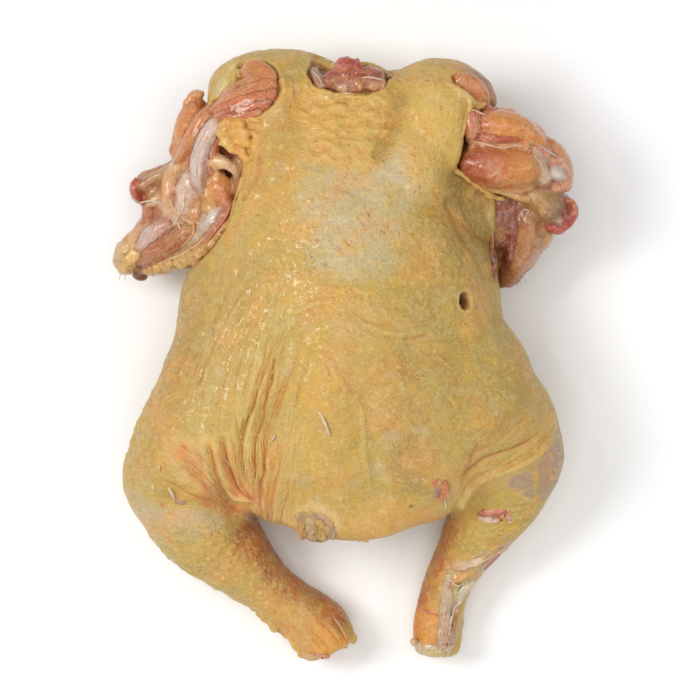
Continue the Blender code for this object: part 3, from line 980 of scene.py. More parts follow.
def raised(tree, shader, reliefs):
    """Sums reliefs of (height, share, millimetres) and bends the shader's normal by them."""
    height = 0.0
    for field, share, tall in reliefs:
        part = maths(tree, "MULTIPLY", field, maths(tree, "MULTIPLY", share, tall))
        height = maths(tree, "ADD", height, part)
    bump = add_node(tree, "ShaderNodeBump")
    bump.inputs["Strength"].default_value = 1.0
    bump.inputs["Distance"].default_value = MM
    connect(tree, height, bump.inputs["Height"])
    connect(tree, bump.outputs["Normal"], shader.inputs["Normal"])


def new_group(name, inputs, outputs):
    """An empty node group with named sockets, each given as (name, type, default)."""
    tree = bpy.data.node_groups.new(name, "ShaderNodeTree")
    for socket_name, socket_type, default in inputs:
        socket = tree.interface.new_socket(socket_name, in_out="INPUT", socket_type=socket_type)
        if default is not None:
            socket.default_value = default
    for socket_name, socket_type in outputs:
        tree.interface.new_socket(socket_name, in_out="OUTPUT", socket_type=socket_type)
    start = tree.nodes.new("NodeGroupInput")
    end = tree.nodes.new("NodeGroupOutput")
    return tree, start.outputs, end.inputs


def placed(tree, group, **values):
    """A group node with its inputs set; an underscore in a name stands for a space."""
    made = tree.nodes.new("ShaderNodeGroup")
    made.node_tree = group
    for name, value in values.items():
        connect(tree, value, made.inputs[name.replace("_", " ")])
    return made.outputs


# %% Pore group
FLOAT, VECTOR = "NodeSocketFloat", "NodeSocketVector"


def pore_group():
    """Raised pores: a dot of height and a spot mask for each cell of a Voronoi texture."""
    inputs = (("Place", VECTOR, None), ("Per mm", FLOAT, 0.33), ("Radius", FLOAT, 0.36))
    tree, given, result = new_group("raised pores", inputs, (("Height", FLOAT), ("Spot", FLOAT)))
    bend = add_node(tree, "ShaderNodeTexNoise")
    connect(tree, given["Place"], bend.inputs["Vector"])
    bend.inputs["Scale"].default_value = 0.25
    shift = add_node(tree, "ShaderNodeVectorMath", operation="MULTIPLY_ADD")
    connect(tree, bend.outputs["Color"], shift.inputs[0])
    shift.inputs[1].default_value = (1.5, 1.5, 1.5)
    connect(tree, given["Place"], shift.inputs[2])
    cells = add_node(tree, "ShaderNodeTexVoronoi")
    connect(tree, shift.outputs[0], cells.inputs["Vector"])
    connect(tree, given["Per mm"], cells.inputs["Scale"])
    cells.inputs["Randomness"].default_value = 0.85
    near = maths(tree, "DIVIDE", cells.outputs["Distance"], given["Radius"])
    dome = maths(tree, "SUBTRACT", 1.0, near, clamp=True)
    uneven = between(tree, noise_of(tree, given["Place"], 0.12), 0.3, 0.7)
    height = maths(tree, "MULTIPLY", between(tree, dome, 0.0, 0.8), uneven)
    connect(tree, height, result["Height"])
    connect(tree, between(tree, dome, 0.25, 0.8), result["Spot"])
    return tree


PORES = pore_group()


# %% Wrinkle and fibre groups
def wrinkle_group():
    """Fine lines drawn out along the grain, with the spacing and length given in millimetres."""
    inputs = (("Grain", VECTOR, None), ("Spacing", FLOAT, 1.3), ("Length", FLOAT, 12.0))
    tree, given, result = new_group("lines along the grain", inputs, (("Height", FLOAT),))
    parts = parts_of(tree, given["Grain"])
    whole = add_node(tree, "ShaderNodeCombineXYZ")
    connect(tree, maths(tree, "DIVIDE", parts["X"], given["Spacing"]), whole.inputs["X"])
    connect(tree, maths(tree, "DIVIDE", parts["Y"], given["Length"]), whole.inputs["Y"])
    lines = noise_of(tree, whole.outputs[0], 1.0, detail=3.0, roughness=0.6)
    ridge = maths(tree, "ABSOLUTE", maths(tree, "SUBTRACT", lines, 0.5))
    height = maths(tree, "SUBTRACT", 1.0, maths(tree, "MULTIPLY", ridge, 5.0), clamp=True)
    connect(tree, height, result["Height"])
    return tree


def mottle_group():
    """Unevenness of five sizes for colour and relief, each around 0.5."""
    outputs = tuple((name, FLOAT) for name in ("Clouds", "Blotches", "Specks", "Flecks", "Patches"))
    tree, given, result = new_group("mottling", (("Place", VECTOR, None),), outputs)
    moved = add_node(tree, "ShaderNodeVectorMath", operation="ADD")
    connect(tree, given["Place"], moved.inputs[0])
    moved.inputs[1].default_value = (170, 40, 90)
    connect(tree, noise_of(tree, moved.outputs[0], 0.5, 4.0, 0.7), result["Flecks"])
    connect(tree, noise_of(tree, moved.outputs[0], 0.14, 2.0, 0.5), result["Patches"])
    connect(tree, noise_of(tree, given["Place"], 0.06, 3.0, 0.6), result["Clouds"])
    connect(tree, noise_of(tree, given["Place"], 0.25, 3.0, 0.6), result["Blotches"])
    connect(tree, noise_of(tree, given["Place"], 1.1, 3.0, 0.65), result["Specks"])
    return tree


LINES = wrinkle_group()
MOTTLE = mottle_group()
print("node groups:", ", ".join(group.name for group in (PORES, LINES, MOTTLE)))


# %% Skin material
def millimetre_place(tree):
    """Each spot's place on the object in millimetres."""
    place = add_node(tree, "ShaderNodeTexCoord").outputs["Object"]
    return scaled_vector(tree, place, (1000, 1000, 1000))


def attribute(tree, name):
    """A vector that the mesh keeps for each of its points."""
    return add_node(tree, "ShaderNodeAttribute", attribute_name=name).outputs["Vector"]


def fresh_material(name):
    """A new material, its node tree and its shader."""
    material = bpy.data.materials.new(name)
    material.use_nodes = True
    tree = material.node_tree
    return material, tree, tree.nodes["Principled BSDF"]


def skin_material():
    """Moist plucked skin: tint, mottling and pale pores, with pore and wrinkle relief."""
    material, tree, shader = fresh_material("plucked skin")
    place = millimetre_place(tree)
    grain = attribute(tree, "grain")
    marks = parts_of(tree, attribute(tree, "marks"))
    pore_amount = marks["X"]
    pull_amount = parts_of(tree, grain)["Z"]

    mottle = placed(tree, MOTTLE, Place=place)
    fine = placed(tree, PORES, Place=place, Per_mm=0.36, Radius=0.42)
    coarse = placed(tree, PORES, Place=place, Per_mm=0.21, Radius=0.34)
    lines = placed(tree, LINES, Grain=grain, Spacing=2.1, Length=26.0)
    short = placed(tree, LINES, Grain=grain, Spacing=1.2, Length=15.0)
    bands = placed(tree, LINES, Grain=grain, Spacing=4.6, Length=34.0)

    colour = add_node(tree, "ShaderNodeAttribute", attribute_name="tint").outputs["Color"]
    # Each row: kind of mottling, its value at no wash and at full wash, amount, tone.
    washes = (
        ("Clouds", 0.46, 0.66, 0.40, (250, 178, 104)),
        ("Clouds", 0.50, 0.34, 0.34, (196, 180, 98)),
        ("Patches", 0.50, 0.74, 0.24, (222, 210, 176)),
        ("Patches", 0.48, 0.30, 0.36, (238, 190, 72)),
        ("Blotches", 0.54, 0.74, 0.30, (250, 216, 140)),
        ("Blotches", 0.45, 0.28, 0.32, (206, 142, 72)),
        ("Flecks", 0.54, 0.70, 0.34, (255, 228, 140)),
        ("Flecks", 0.45, 0.30, 0.30, (216, 144, 78)),
        ("Specks", 0.54, 0.70, 0.38, (255, 236, 170)),
        ("Specks", 0.45, 0.30, 0.32, (180, 122, 60)),
    )
    for field, low, high, amount, tone in washes:
        colour = tinted(tree, between(tree, mottle[field], low, high), amount, colour, tone)
    spots = maths(tree, "MULTIPLY", fine["Spot"], pore_amount)
    colour = tinted(tree, spots, 0.30, colour, (246, 196, 92))
    # Each row: lines, their height at no colour and at full colour, amount, tone.
    strands = (
        (bands, 0.42, 0.0, 0.50, (224, 156, 78)),
        (bands, 0.60, 1.0, 0.45, (222, 200, 132)),
        (lines, 0.40, 0.0, 0.22, (214, 140, 66)),
        (lines, 0.65, 1.0, 0.34, (244, 212, 130)),
        (short, 0.38, 0.0, 0.12, (206, 124, 66)),
        (short, 0.70, 1.0, 0.28, (246, 222, 160)),
    )
    for group, low, high, amount, tone in strands:
        share = maths(tree, "MULTIPLY", between(tree, group["Height"], low, high), pull_amount)
        colour = tinted(tree, share, amount, colour, tone)
    # A thin darker red line at the bottom of each crease, with orange banks: painted shade in the crease,
    # with the orange of the skin there.
    gap = maths(tree, "ABSOLUTE", marks["Y"])
    seam = maths(tree, "MULTIPLY", between(tree, gap, 0.5, 0.05), marks["Z"])
    banks = maths(tree, "MULTIPLY", between(tree, gap, 1.6, 0.4), marks["Z"])
    colour = tinted(tree, banks, 0.35, colour, (230, 156, 78))
    colour = tinted(tree, seam, 0.42, colour, (204, 96, 46))
    connect(tree, colour, shader.inputs["Base Color"])

    # Each row: height from 0 to 1, share of it at a point, millimetres.
    reliefs = (
        (fine["Height"], pore_amount, 0.40),
        (coarse["Height"], pore_amount, 0.55),
        (lines["Height"], pull_amount, 0.45),
        (short["Height"], pull_amount, 0.20),
        (seam, 1.0, -0.55),
        (mottle["Specks"], 1.0, 0.50),
        (mottle["Flecks"], 1.0, 0.42),
        (mottle["Blotches"], 1.0, 0.50),
    )
    raised(tree, shader, reliefs)
    connect(tree, ranged(tree, mottle["Blotches"], 0.36, 0.6), shader.inputs["Roughness"])
    shader.inputs["Specular IOR Level"].default_value = 0.45
    glints = between(tree, mottle["Flecks"], 0.48, 0.62)
    connect(tree, maths(tree, "MULTIPLY", glints, 0.55), shader.inputs["Coat Weight"])
    shader.inputs["Coat Roughness"].default_value = 0.14
    return material


SKIN = skin_material()
skin.data.materials.clear()
skin.data.materials.append(SKIN)
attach(skin, "root")
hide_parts("chicken")
skin.data.shade_smooth()
print("skin painted and placed")


# %% [markdown]
# ## Bare meat
#
# Both wings were skinned as far as the elbow. What shows is a bundle of muscles, tendons, fat and thin
# membranes, each a tapering form with its own colour and its own direction of fibre. A *lobe* lofts an
# oval ring along a curve and closes it at both ends, and keeps for each of its points the tone, the
# place in the grain and the wetness. Its fibre, lumps and wet run from 0 to 1 and say how stringy, how
# uneven and how shiny it is. A knot of four numbers is a place seen from above, a half width and a half
# height, and gets its height from the skin below; one of five has its own height.
#
# A voxel remesh then welds many lobes and a shrunken copy of the plain wing into one body of meat, with
# soft furrows where they meet, and each point of it takes its paint from the nearest lobe points.

# %% Lobes
RING_STEP = 0.75
SEEK_HEIGHT = 45.0
FARTHEST_DROP = 9.0
EDGE_DROP = 1.0
Lobe = namedtuple("Lobe", "colours fibre lumps wet knots")


class Heap:
    """Collects the points, faces and paint of many forms that become one piece."""

    def __init__(self, depth=(0.68, 0.63, 0.54)):
        self.depth = np.array(depth)
        self.points, self.faces, self.tones, self.grains, self.marks = [], [], [], [], []
        self.count = 0

    def add(self, points, faces, tones, grains, marks):
        self.points.append(points)
        self.faces += [tuple(corner + self.count for corner in face) for face in faces]
        self.tones.append(tones)
        self.grains.append(grains)
        self.marks.append(marks)
        self.count += len(points)

    def mesh(self, name):
        mesh = bpy.data.meshes.new(name)
        mesh.from_pydata((np.vstack(self.points) * MM).tolist(), [], self.faces)
        return mesh

    def piece(self, name, material):
        mesh = self.mesh(name)
        keep_colour(mesh, "tint", self.depth * to_linear(np.vstack(self.tones)))
        keep_vector(mesh, "grain", np.vstack(self.grains))
        keep_vector(mesh, "marks", np.vstack(self.marks))
        mesh.materials.append(material)
        mesh.shade_smooth()
        obj = bpy.data.objects.new(name, mesh)
        bpy.context.scene.collection.objects.link(obj)
        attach(obj, "root")
        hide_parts("chicken")
        print(name, 2 * len(self.faces), "triangles at most")
        return obj


def blended(colours, share):
    """Each point's tone along a run of colours, for a share from 0 to 1."""
    colours = np.array(colours, float).reshape(-1, 3)
    if len(colours) == 1:
        return np.tile(colours[0], (len(share), 1))
    stops = np.linspace(0, 1, len(colours))
    return np.stack([np.interp(share, stops, colours[:, band]) for band in range(3)], axis=1)


def grid_faces(rings, around):
    """Quads of a tube of rings, each ring closed on itself."""
    faces = []
    for ring in range(rings - 1):
        for step in range(around):
            right = (step + 1) % around
            low, high = ring * around, (ring + 1) * around
            faces.append((low + step, low + right, high + right, high + step))
    return faces


def resampled(curve, spacing):
    """The curve's points moved to even spacing, and how far along it each one is."""
    runs = np.linalg.norm(np.diff(curve[:, :3], axis=0), axis=1)
    travelled = np.concatenate([[0], np.cumsum(runs)])
    count = max(int(travelled[-1] / spacing), 6) + 1
    wanted = np.linspace(0, travelled[-1], count)
    return np.stack([np.interp(wanted, travelled, column) for column in curve.T], axis=1), wanted


def laid(knots, tree, lift=-0.6):
    """Gives each knot of (x, y, half width, half height) a height, sunk by a share of its half height.

    The height is that of the surface below. Where there is none, or far down past an edge, it is a
    little under the knot before. A knot of five numbers has its own height and keeps it.
    """
    placed_knots = []
    last = None
    for knot in knots:
        if len(knot) == 5:
            placed_knots.append(knot)
            continue
        x, y, wide, high = knot
        z = top_of(tree, x, y)
        if last is None:
            z = tree.find_nearest(Vector((x, y, SEEK_HEIGHT)))[0].z if z is None else z
        elif z is None or z < last - FARTHEST_DROP:
            z = last - EDGE_DROP
        last = z
        placed_knots.append((x, y, z + lift * high, wide, high))
    return placed_knots


def add_lobe(heap, lobe, seed, tree=None, lift=-0.6, tip=0.9, step=RING_STEP):
    """A closed oval form along a lobe's knots, laid on a surface, with round ends."""
    curve, travelled = resampled(curve_through(laid(lobe.knots, tree or skin_tree, lift)), step)
    length = travelled[-1]
    centres, wide, high = curve[:, :3], np.maximum(curve[:, 3], 0.08), np.maximum(curve[:, 4], 0.08)
    around = int(np.clip(2 * np.pi * wide.max() / RING_STEP, 8, 48))
    heading = np.gradient(centres, axis=0)
    heading /= np.linalg.norm(heading, axis=1)[:, None]
    side = np.cross(heading, (0, 0, 1))
    side /= np.linalg.norm(side, axis=1)[:, None] + 1e-9
    up = np.cross(side, heading)
    start = np.clip(travelled / (tip * wide), 0, 1)
    finish = np.clip((length - travelled) / (tip * wide), 0, 1)
    round_off = np.sqrt(1 - (1 - start) ** 2) * np.sqrt(1 - (1 - finish) ** 2) + 0.02
    angles = 2 * np.pi * np.arange(around) / around
    ring_side = (side * (wide * round_off)[:, None])[:, None, :] * np.cos(angles)[None, :, None]
    ring_up = (up * (high * round_off)[:, None])[:, None, :] * np.sin(angles)[None, :, None]
    points = (centres[:, None, :] + ring_side + ring_up).reshape(-1, 3)
    along = np.repeat(travelled, around)
    folded = np.abs((angles[None, :] - np.pi) * wide[:, None]).reshape(-1)
    tones = blended(lobe.colours, along / length)
    grains = np.stack([folded + 37.0 * (seed % 7), along, np.full(len(points), lobe.fibre)], axis=1)
    marks = np.tile((0.0, lobe.wet, lobe.lumps), (len(points), 1))
    faces = [face[::-1] for face in grid_faces(len(curve), around)]
    faces.append(tuple(range(around)))
    faces.append(tuple(range(len(points) - around, len(points)))[::-1])
    heap.add(points, faces, tones, grains, marks)


# %% Weld lobes into one body of meat
MEAT_VOXEL = 0.85
CORE_VOXEL = 1.6
CORE_SHRINK = 3.0
CORE_INSET = 5.0


def wing_core(wall, grow_in):
    """The part of the plain bird beside a wall, shrunken, as a core for the lobes to lie on."""
    level, outline = wall
    core = bpy.data.objects.new("core", plain_bird.data.copy())
    bpy.context.scene.collection.objects.link(core)
    cutter = wall_cutter("core side", level, [(x + grow_in, y) for x, y in outline])
    bpy.context.scene.collection.objects.link(cutter)
    keep = core.modifiers.new("Keep the wing", "BOOLEAN")
    keep.operation = "INTERSECT"
    keep.object = cutter
    wrap = core.modifiers.new("Wrap", "REMESH")
    wrap.mode = "VOXEL"
    wrap.voxel_size = CORE_VOXEL * MM
    soften = core.modifiers.new("Soften", "SMOOTH")
    soften.iterations = 10
    shrink = core.modifiers.new("Shrink", "DISPLACE")
    shrink.strength = -CORE_SHRINK * MM
    shrink.mid_level = 0.0
    made = evaluated_mesh(core)
    bpy.data.objects.remove(core)
    bpy.data.objects.remove(cutter)
    return made


def welded(heap, core, soften_steps, core_tone):
    """One closed mesh round the lobes and the core, painted from the nearest lobe's points."""
    rough = Heap()
    paint = [np.vstack(kept) for kept in (heap.tones, heap.grains, heap.marks)]
    rough.add(np.vstack(heap.points), heap.faces, *paint)
    if core:
        spots = coordinates(core)
        corners = [tuple(face.vertices) for face in core.polygons]
        blank = np.zeros((len(spots), 3))
        rough.add(spots, corners, blank + core_tone, blank, blank + (0, 0.5, 0.6))
    obj = bpy.data.objects.new("rough meat", rough.mesh("rough meat"))
    bpy.context.scene.collection.objects.link(obj)
    wrap = obj.modifiers.new("Wrap", "REMESH")
    wrap.mode = "VOXEL"
    wrap.voxel_size = MEAT_VOXEL * MM
    soften = obj.modifiers.new("Soften", "SMOOTH")
    soften.factor = 0.5
    soften.iterations = soften_steps
    mesh = evaluated_mesh(obj)
    bpy.data.objects.remove(obj)
    spots = np.vstack(rough.points)
    finder = kdtree.KDTree(len(spots))
    for index, spot in enumerate(spots):
        finder.insert(spot, index)
    finder.balance()
    found = np.array([[hit[1] for hit in finder.find_n(point, 6)] for point in coordinates(mesh)])
    tones = np.vstack(rough.tones)[found].mean(axis=1)
    grains = np.vstack(rough.grains)[found[:, 0]]
    marks = np.vstack(rough.marks)[found].mean(axis=1)
    return mesh, tones, grains, marks


# How high the relief of meat stands, in millimetres.
FIBRES, FINE_FIBRES, LUMPS, SWELLS = 0.34, 0.16, 0.7, 0.35
# Tones of painted shade for the furrows of meat and of a painted highlight for its crests.
FURROW_SHADE = (164, 74, 42)
CREST_HIGHLIGHT = (248, 206, 152)


def meat_body(heap, lobes, seed, core=None, soften_steps=5, core_tone=None,
              shade_tone=FURROW_SHADE, highlight_tone=CREST_HIGHLIGHT, lift=-0.6):
    """Welds the lobes, adds fibres and lumps to their surface, and returns the finished body's tree."""
    rough = Heap()
    for index, lobe in enumerate(lobes):
        add_lobe(rough, lobe, seed + 3 * index, lift=lift)
    mesh, tones, grains, marks = welded(rough, core, soften_steps, core_tone)
    points = coordinates(mesh)
    outward = normals_of(mesh)
    fibre, lumps = grains[:, 2], marks[:, 2]
    moved = fibre * (FIBRES * line_noise(grains[:, 0], grains[:, 1], 2.3, 18, seed) - 0.2)
    moved += fibre * (FINE_FIBRES * line_noise(grains[:, 0], grains[:, 1], 1.3, 9, seed + 1) - 0.1)
    moved += lumps * LUMPS * noise(points, 3.6, seed + 2, octaves=3)
    moved += SWELLS * noise(points, 8.0, seed + 4, octaves=2)
    points = points + outward * moved[:, None]
    points[:, 2] = np.maximum(points[:, 2], 0.0)
    move_to(mesh, points)
    low = hollowness(mesh, 5)
    lower = hollowness(mesh, 24)
    tones = tones + 12 * noise(points, 5.0, seed + 6, octaves=3)[:, None] * np.array((1, 1.1, 1.1))
    # Painted shade in the furrows, and a painted highlight on the crests.
    tones = covered(tones, 0.55 * smooth(low, 0.05, 0.5), shade_tone)
    tones = covered(tones, 0.45 * smooth(lower, 0.3, 1.8), shade_tone)
    tones = covered(tones, 0.4 * smooth(-low, 0.06, 0.35), highlight_tone)
    faces = [tuple(face.vertices) for face in mesh.polygons]
    heap.add(points, faces, tones, grains, marks)
    return tree_of(mesh)


# %% Meat material
def vein_group():
    """Thin wandering lines, where folded noise comes near its middle value."""
    inputs = (("Place", VECTOR, None), ("Per mm", FLOAT, 0.3), ("Width", FLOAT, 0.06))
    tree, given, result = new_group("thin wandering lines", inputs, (("Line", FLOAT),))
    field = add_node(tree, "ShaderNodeTexNoise")
    connect(tree, given["Place"], field.inputs["Vector"])
    connect(tree, given["Per mm"], field.inputs["Scale"])
    field.inputs["Detail"].default_value = 3.0
    field.inputs["Distortion"].default_value = 0.8
    off = maths(tree, "ABSOLUTE", maths(tree, "SUBTRACT", field.outputs["Fac"], 0.5))
    line = maths(tree, "SUBTRACT", 1.0, maths(tree, "DIVIDE", off, given["Width"]), clamp=True)
    connect(tree, line, result["Line"])
    return tree


VEINS = vein_group()


def meat_material():
    """Wet bare meat: fibres along the grain, pale streaks of membrane and blotches of fat."""
    material, tree, shader = fresh_material("bare meat")
    place = millimetre_place(tree)
    grain = attribute(tree, "grain")
    fibre = parts_of(tree, grain)["Z"]
    wetness = parts_of(tree, attribute(tree, "marks"))["Y"]
    mottle = placed(tree, MOTTLE, Place=place)
    strands = placed(tree, LINES, Grain=grain, Spacing=0.9, Length=12.0)
    broad = placed(tree, LINES, Grain=grain, Spacing=2.4, Length=26.0)
    film = placed(tree, VEINS, Place=place, Per_mm=0.22, Width=0.05)
    blood = placed(tree, VEINS, Place=scaled_vector(tree, place, (1, 1, 1.4)), Per_mm=0.13, Width=0.022)

    colour = add_node(tree, "ShaderNodeAttribute", attribute_name="tint").outputs["Color"]
    # Each row: kind of mottling, its value at no wash and at full wash, amount, tone.
    washes = (
        ("Clouds", 0.46, 0.64, 0.24, (232, 116, 58)),
        ("Patches", 0.54, 0.72, 0.24, (246, 196, 116)),
        ("Blotches", 0.54, 0.72, 0.22, (248, 204, 140)),
        ("Blotches", 0.44, 0.28, 0.24, (214, 98, 52)),
        ("Flecks", 0.56, 0.70, 0.22, (252, 204, 128)),
        ("Specks", 0.55, 0.70, 0.22, (255, 224, 170)),
        ("Specks", 0.45, 0.30, 0.22, (186, 88, 50)),
    )
    for field, low, high, amount, tone in washes:
        colour = tinted(tree, between(tree, mottle[field], low, high), amount, colour, tone)
    streak = maths(tree, "MULTIPLY", between(tree, broad["Height"], 0.72, 0.98), fibre)
    colour = tinted(tree, streak, 0.26, colour, (246, 208, 164))
    thread = maths(tree, "MULTIPLY", between(tree, strands["Height"], 0.35, 0.0), fibre)
    colour = tinted(tree, thread, 0.2, colour, (184, 84, 46))
    patchy = between(tree, mottle["Clouds"], 0.46, 0.6)
    film_share = maths(tree, "MULTIPLY", film["Line"], patchy)
    colour = tinted(tree, film_share, 0.38, colour, (250, 226, 190))
    colour = tinted(tree, blood["Line"], 0.4, colour, (196, 66, 40))
    connect(tree, colour, shader.inputs["Base Color"])

    # Each row: height from 0 to 1, share of it at a point, millimetres.
    reliefs = (
        (strands["Height"], fibre, 0.20),
        (broad["Height"], fibre, 0.30),
        (film_share, 1.0, 0.25),
        (mottle["Specks"], 1.0, 0.35),
        (mottle["Blotches"], 1.0, 0.60),
    )
    raised(tree, shader, reliefs)
    connect(tree, ranged(tree, wetness, 0.5, 0.22), shader.inputs["Roughness"])
    shader.inputs["Specular IOR Level"].default_value = 0.5
    shader.inputs["Coat Weight"].default_value = 0.6
    shader.inputs["Coat Roughness"].default_value = 0.1
    return material


MEAT = meat_material()
print("materials:", SKIN.name, "and", MEAT.name)

# %% [markdown]
# ## The left wing
#
# From the shoulder the bare upper arm comes down and out, a pale violet muscle beside an orange one.
# It bends at the elbow, where membranes and white gristle show, and the forearm runs on to the wrist
# with a rim of yellow skin below it. The stub of the hand lies behind, cut to a red end.

# %% Left wing tones
ORANGE = (228, 148, 84)
RED = (208, 108, 70)
DEEP_RED = (176, 74, 50)
VIOLET = (236, 218, 228)
PINK = (250, 222, 218)
FAT = (240, 192, 112)
PALE_FAT = (240, 212, 156)
GRISTLE = (234, 234, 238)
SHADOW = (112, 56, 34)
BROWN = (182, 112, 74)

LEFT_SHOULDER = (
    Lobe(((228, 152, 90), (222, 146, 84), (226, 148, 86)), 0.1, 0.2, 0.8,
        ((-46, 127.6, 3.6, 2.4), (-41.6, 126.6, 6.0, 3), (-36.6, 125, 6.2, 3), (-32, 123.2, 4.4, 2.6),
        (-29.6, 121.6, 2.4, 2))),
    Lobe(((240, 222, 140), (232, 214, 130), (244, 226, 190)), 0.1, 0.3, 0.9,
        ((-47, 129, 2.0, 1.6), (-49.4, 124.6, 2.8, 2), (-51.6, 120.4, 2.8, 2), (-55, 116.4, 1.8, 1.6))),
    Lobe(((226, 150, 92), (222, 150, 96)), 0.3, 0.3, 0.9,
        ((-36, 121.4, 2.4, 2.2), (-42, 121, 3.2, 2.6), (-48, 118.6, 2.8, 2.6), (-54, 114.8, 2.0, 2))),
    Lobe(((232, 136, 78), (232, 134, 74), (230, 130, 72)), 0.6, 0.1, 0.9,
        ((-28.4, 121, 2.6, 3), (-37, 118.8, 3.8, 4), (-48, 114.8, 3.6, 4), (-58, 109.8, 2.6, 3.4),
        (-62, 107.4, 2.2, 3))),
    Lobe(((228, 120, 74), (222, 112, 66), (228, 124, 70)), 0.6, 0.1, 0.9,
        ((-28.2, 116.8, 2.6, 3), (-37, 114.8, 3.4, 4), (-47, 112, 3.2, 4), (-57.5, 108, 2.4, 3.4))),
    Lobe((RED, (214, 104, 68), (232, 150, 110)), 0.6, 0.1, 0.9,
        ((-31, 112.2, 2.4, 3), (-39, 110.8, 3.0, 4), (-48, 109.4, 2.6, 4), (-57, 106.8, 2.2, 3.4))),
    Lobe(((222, 128, 80), RED, (236, 160, 124)), 0.6, 0.1, 0.9,
        ((-35, 108.6, 2.0, 2.6), (-43, 107.2, 2.6, 3.4), (-50, 106.4, 2.4, 3.4), (-57, 104.6, 2.0, 3))),
)
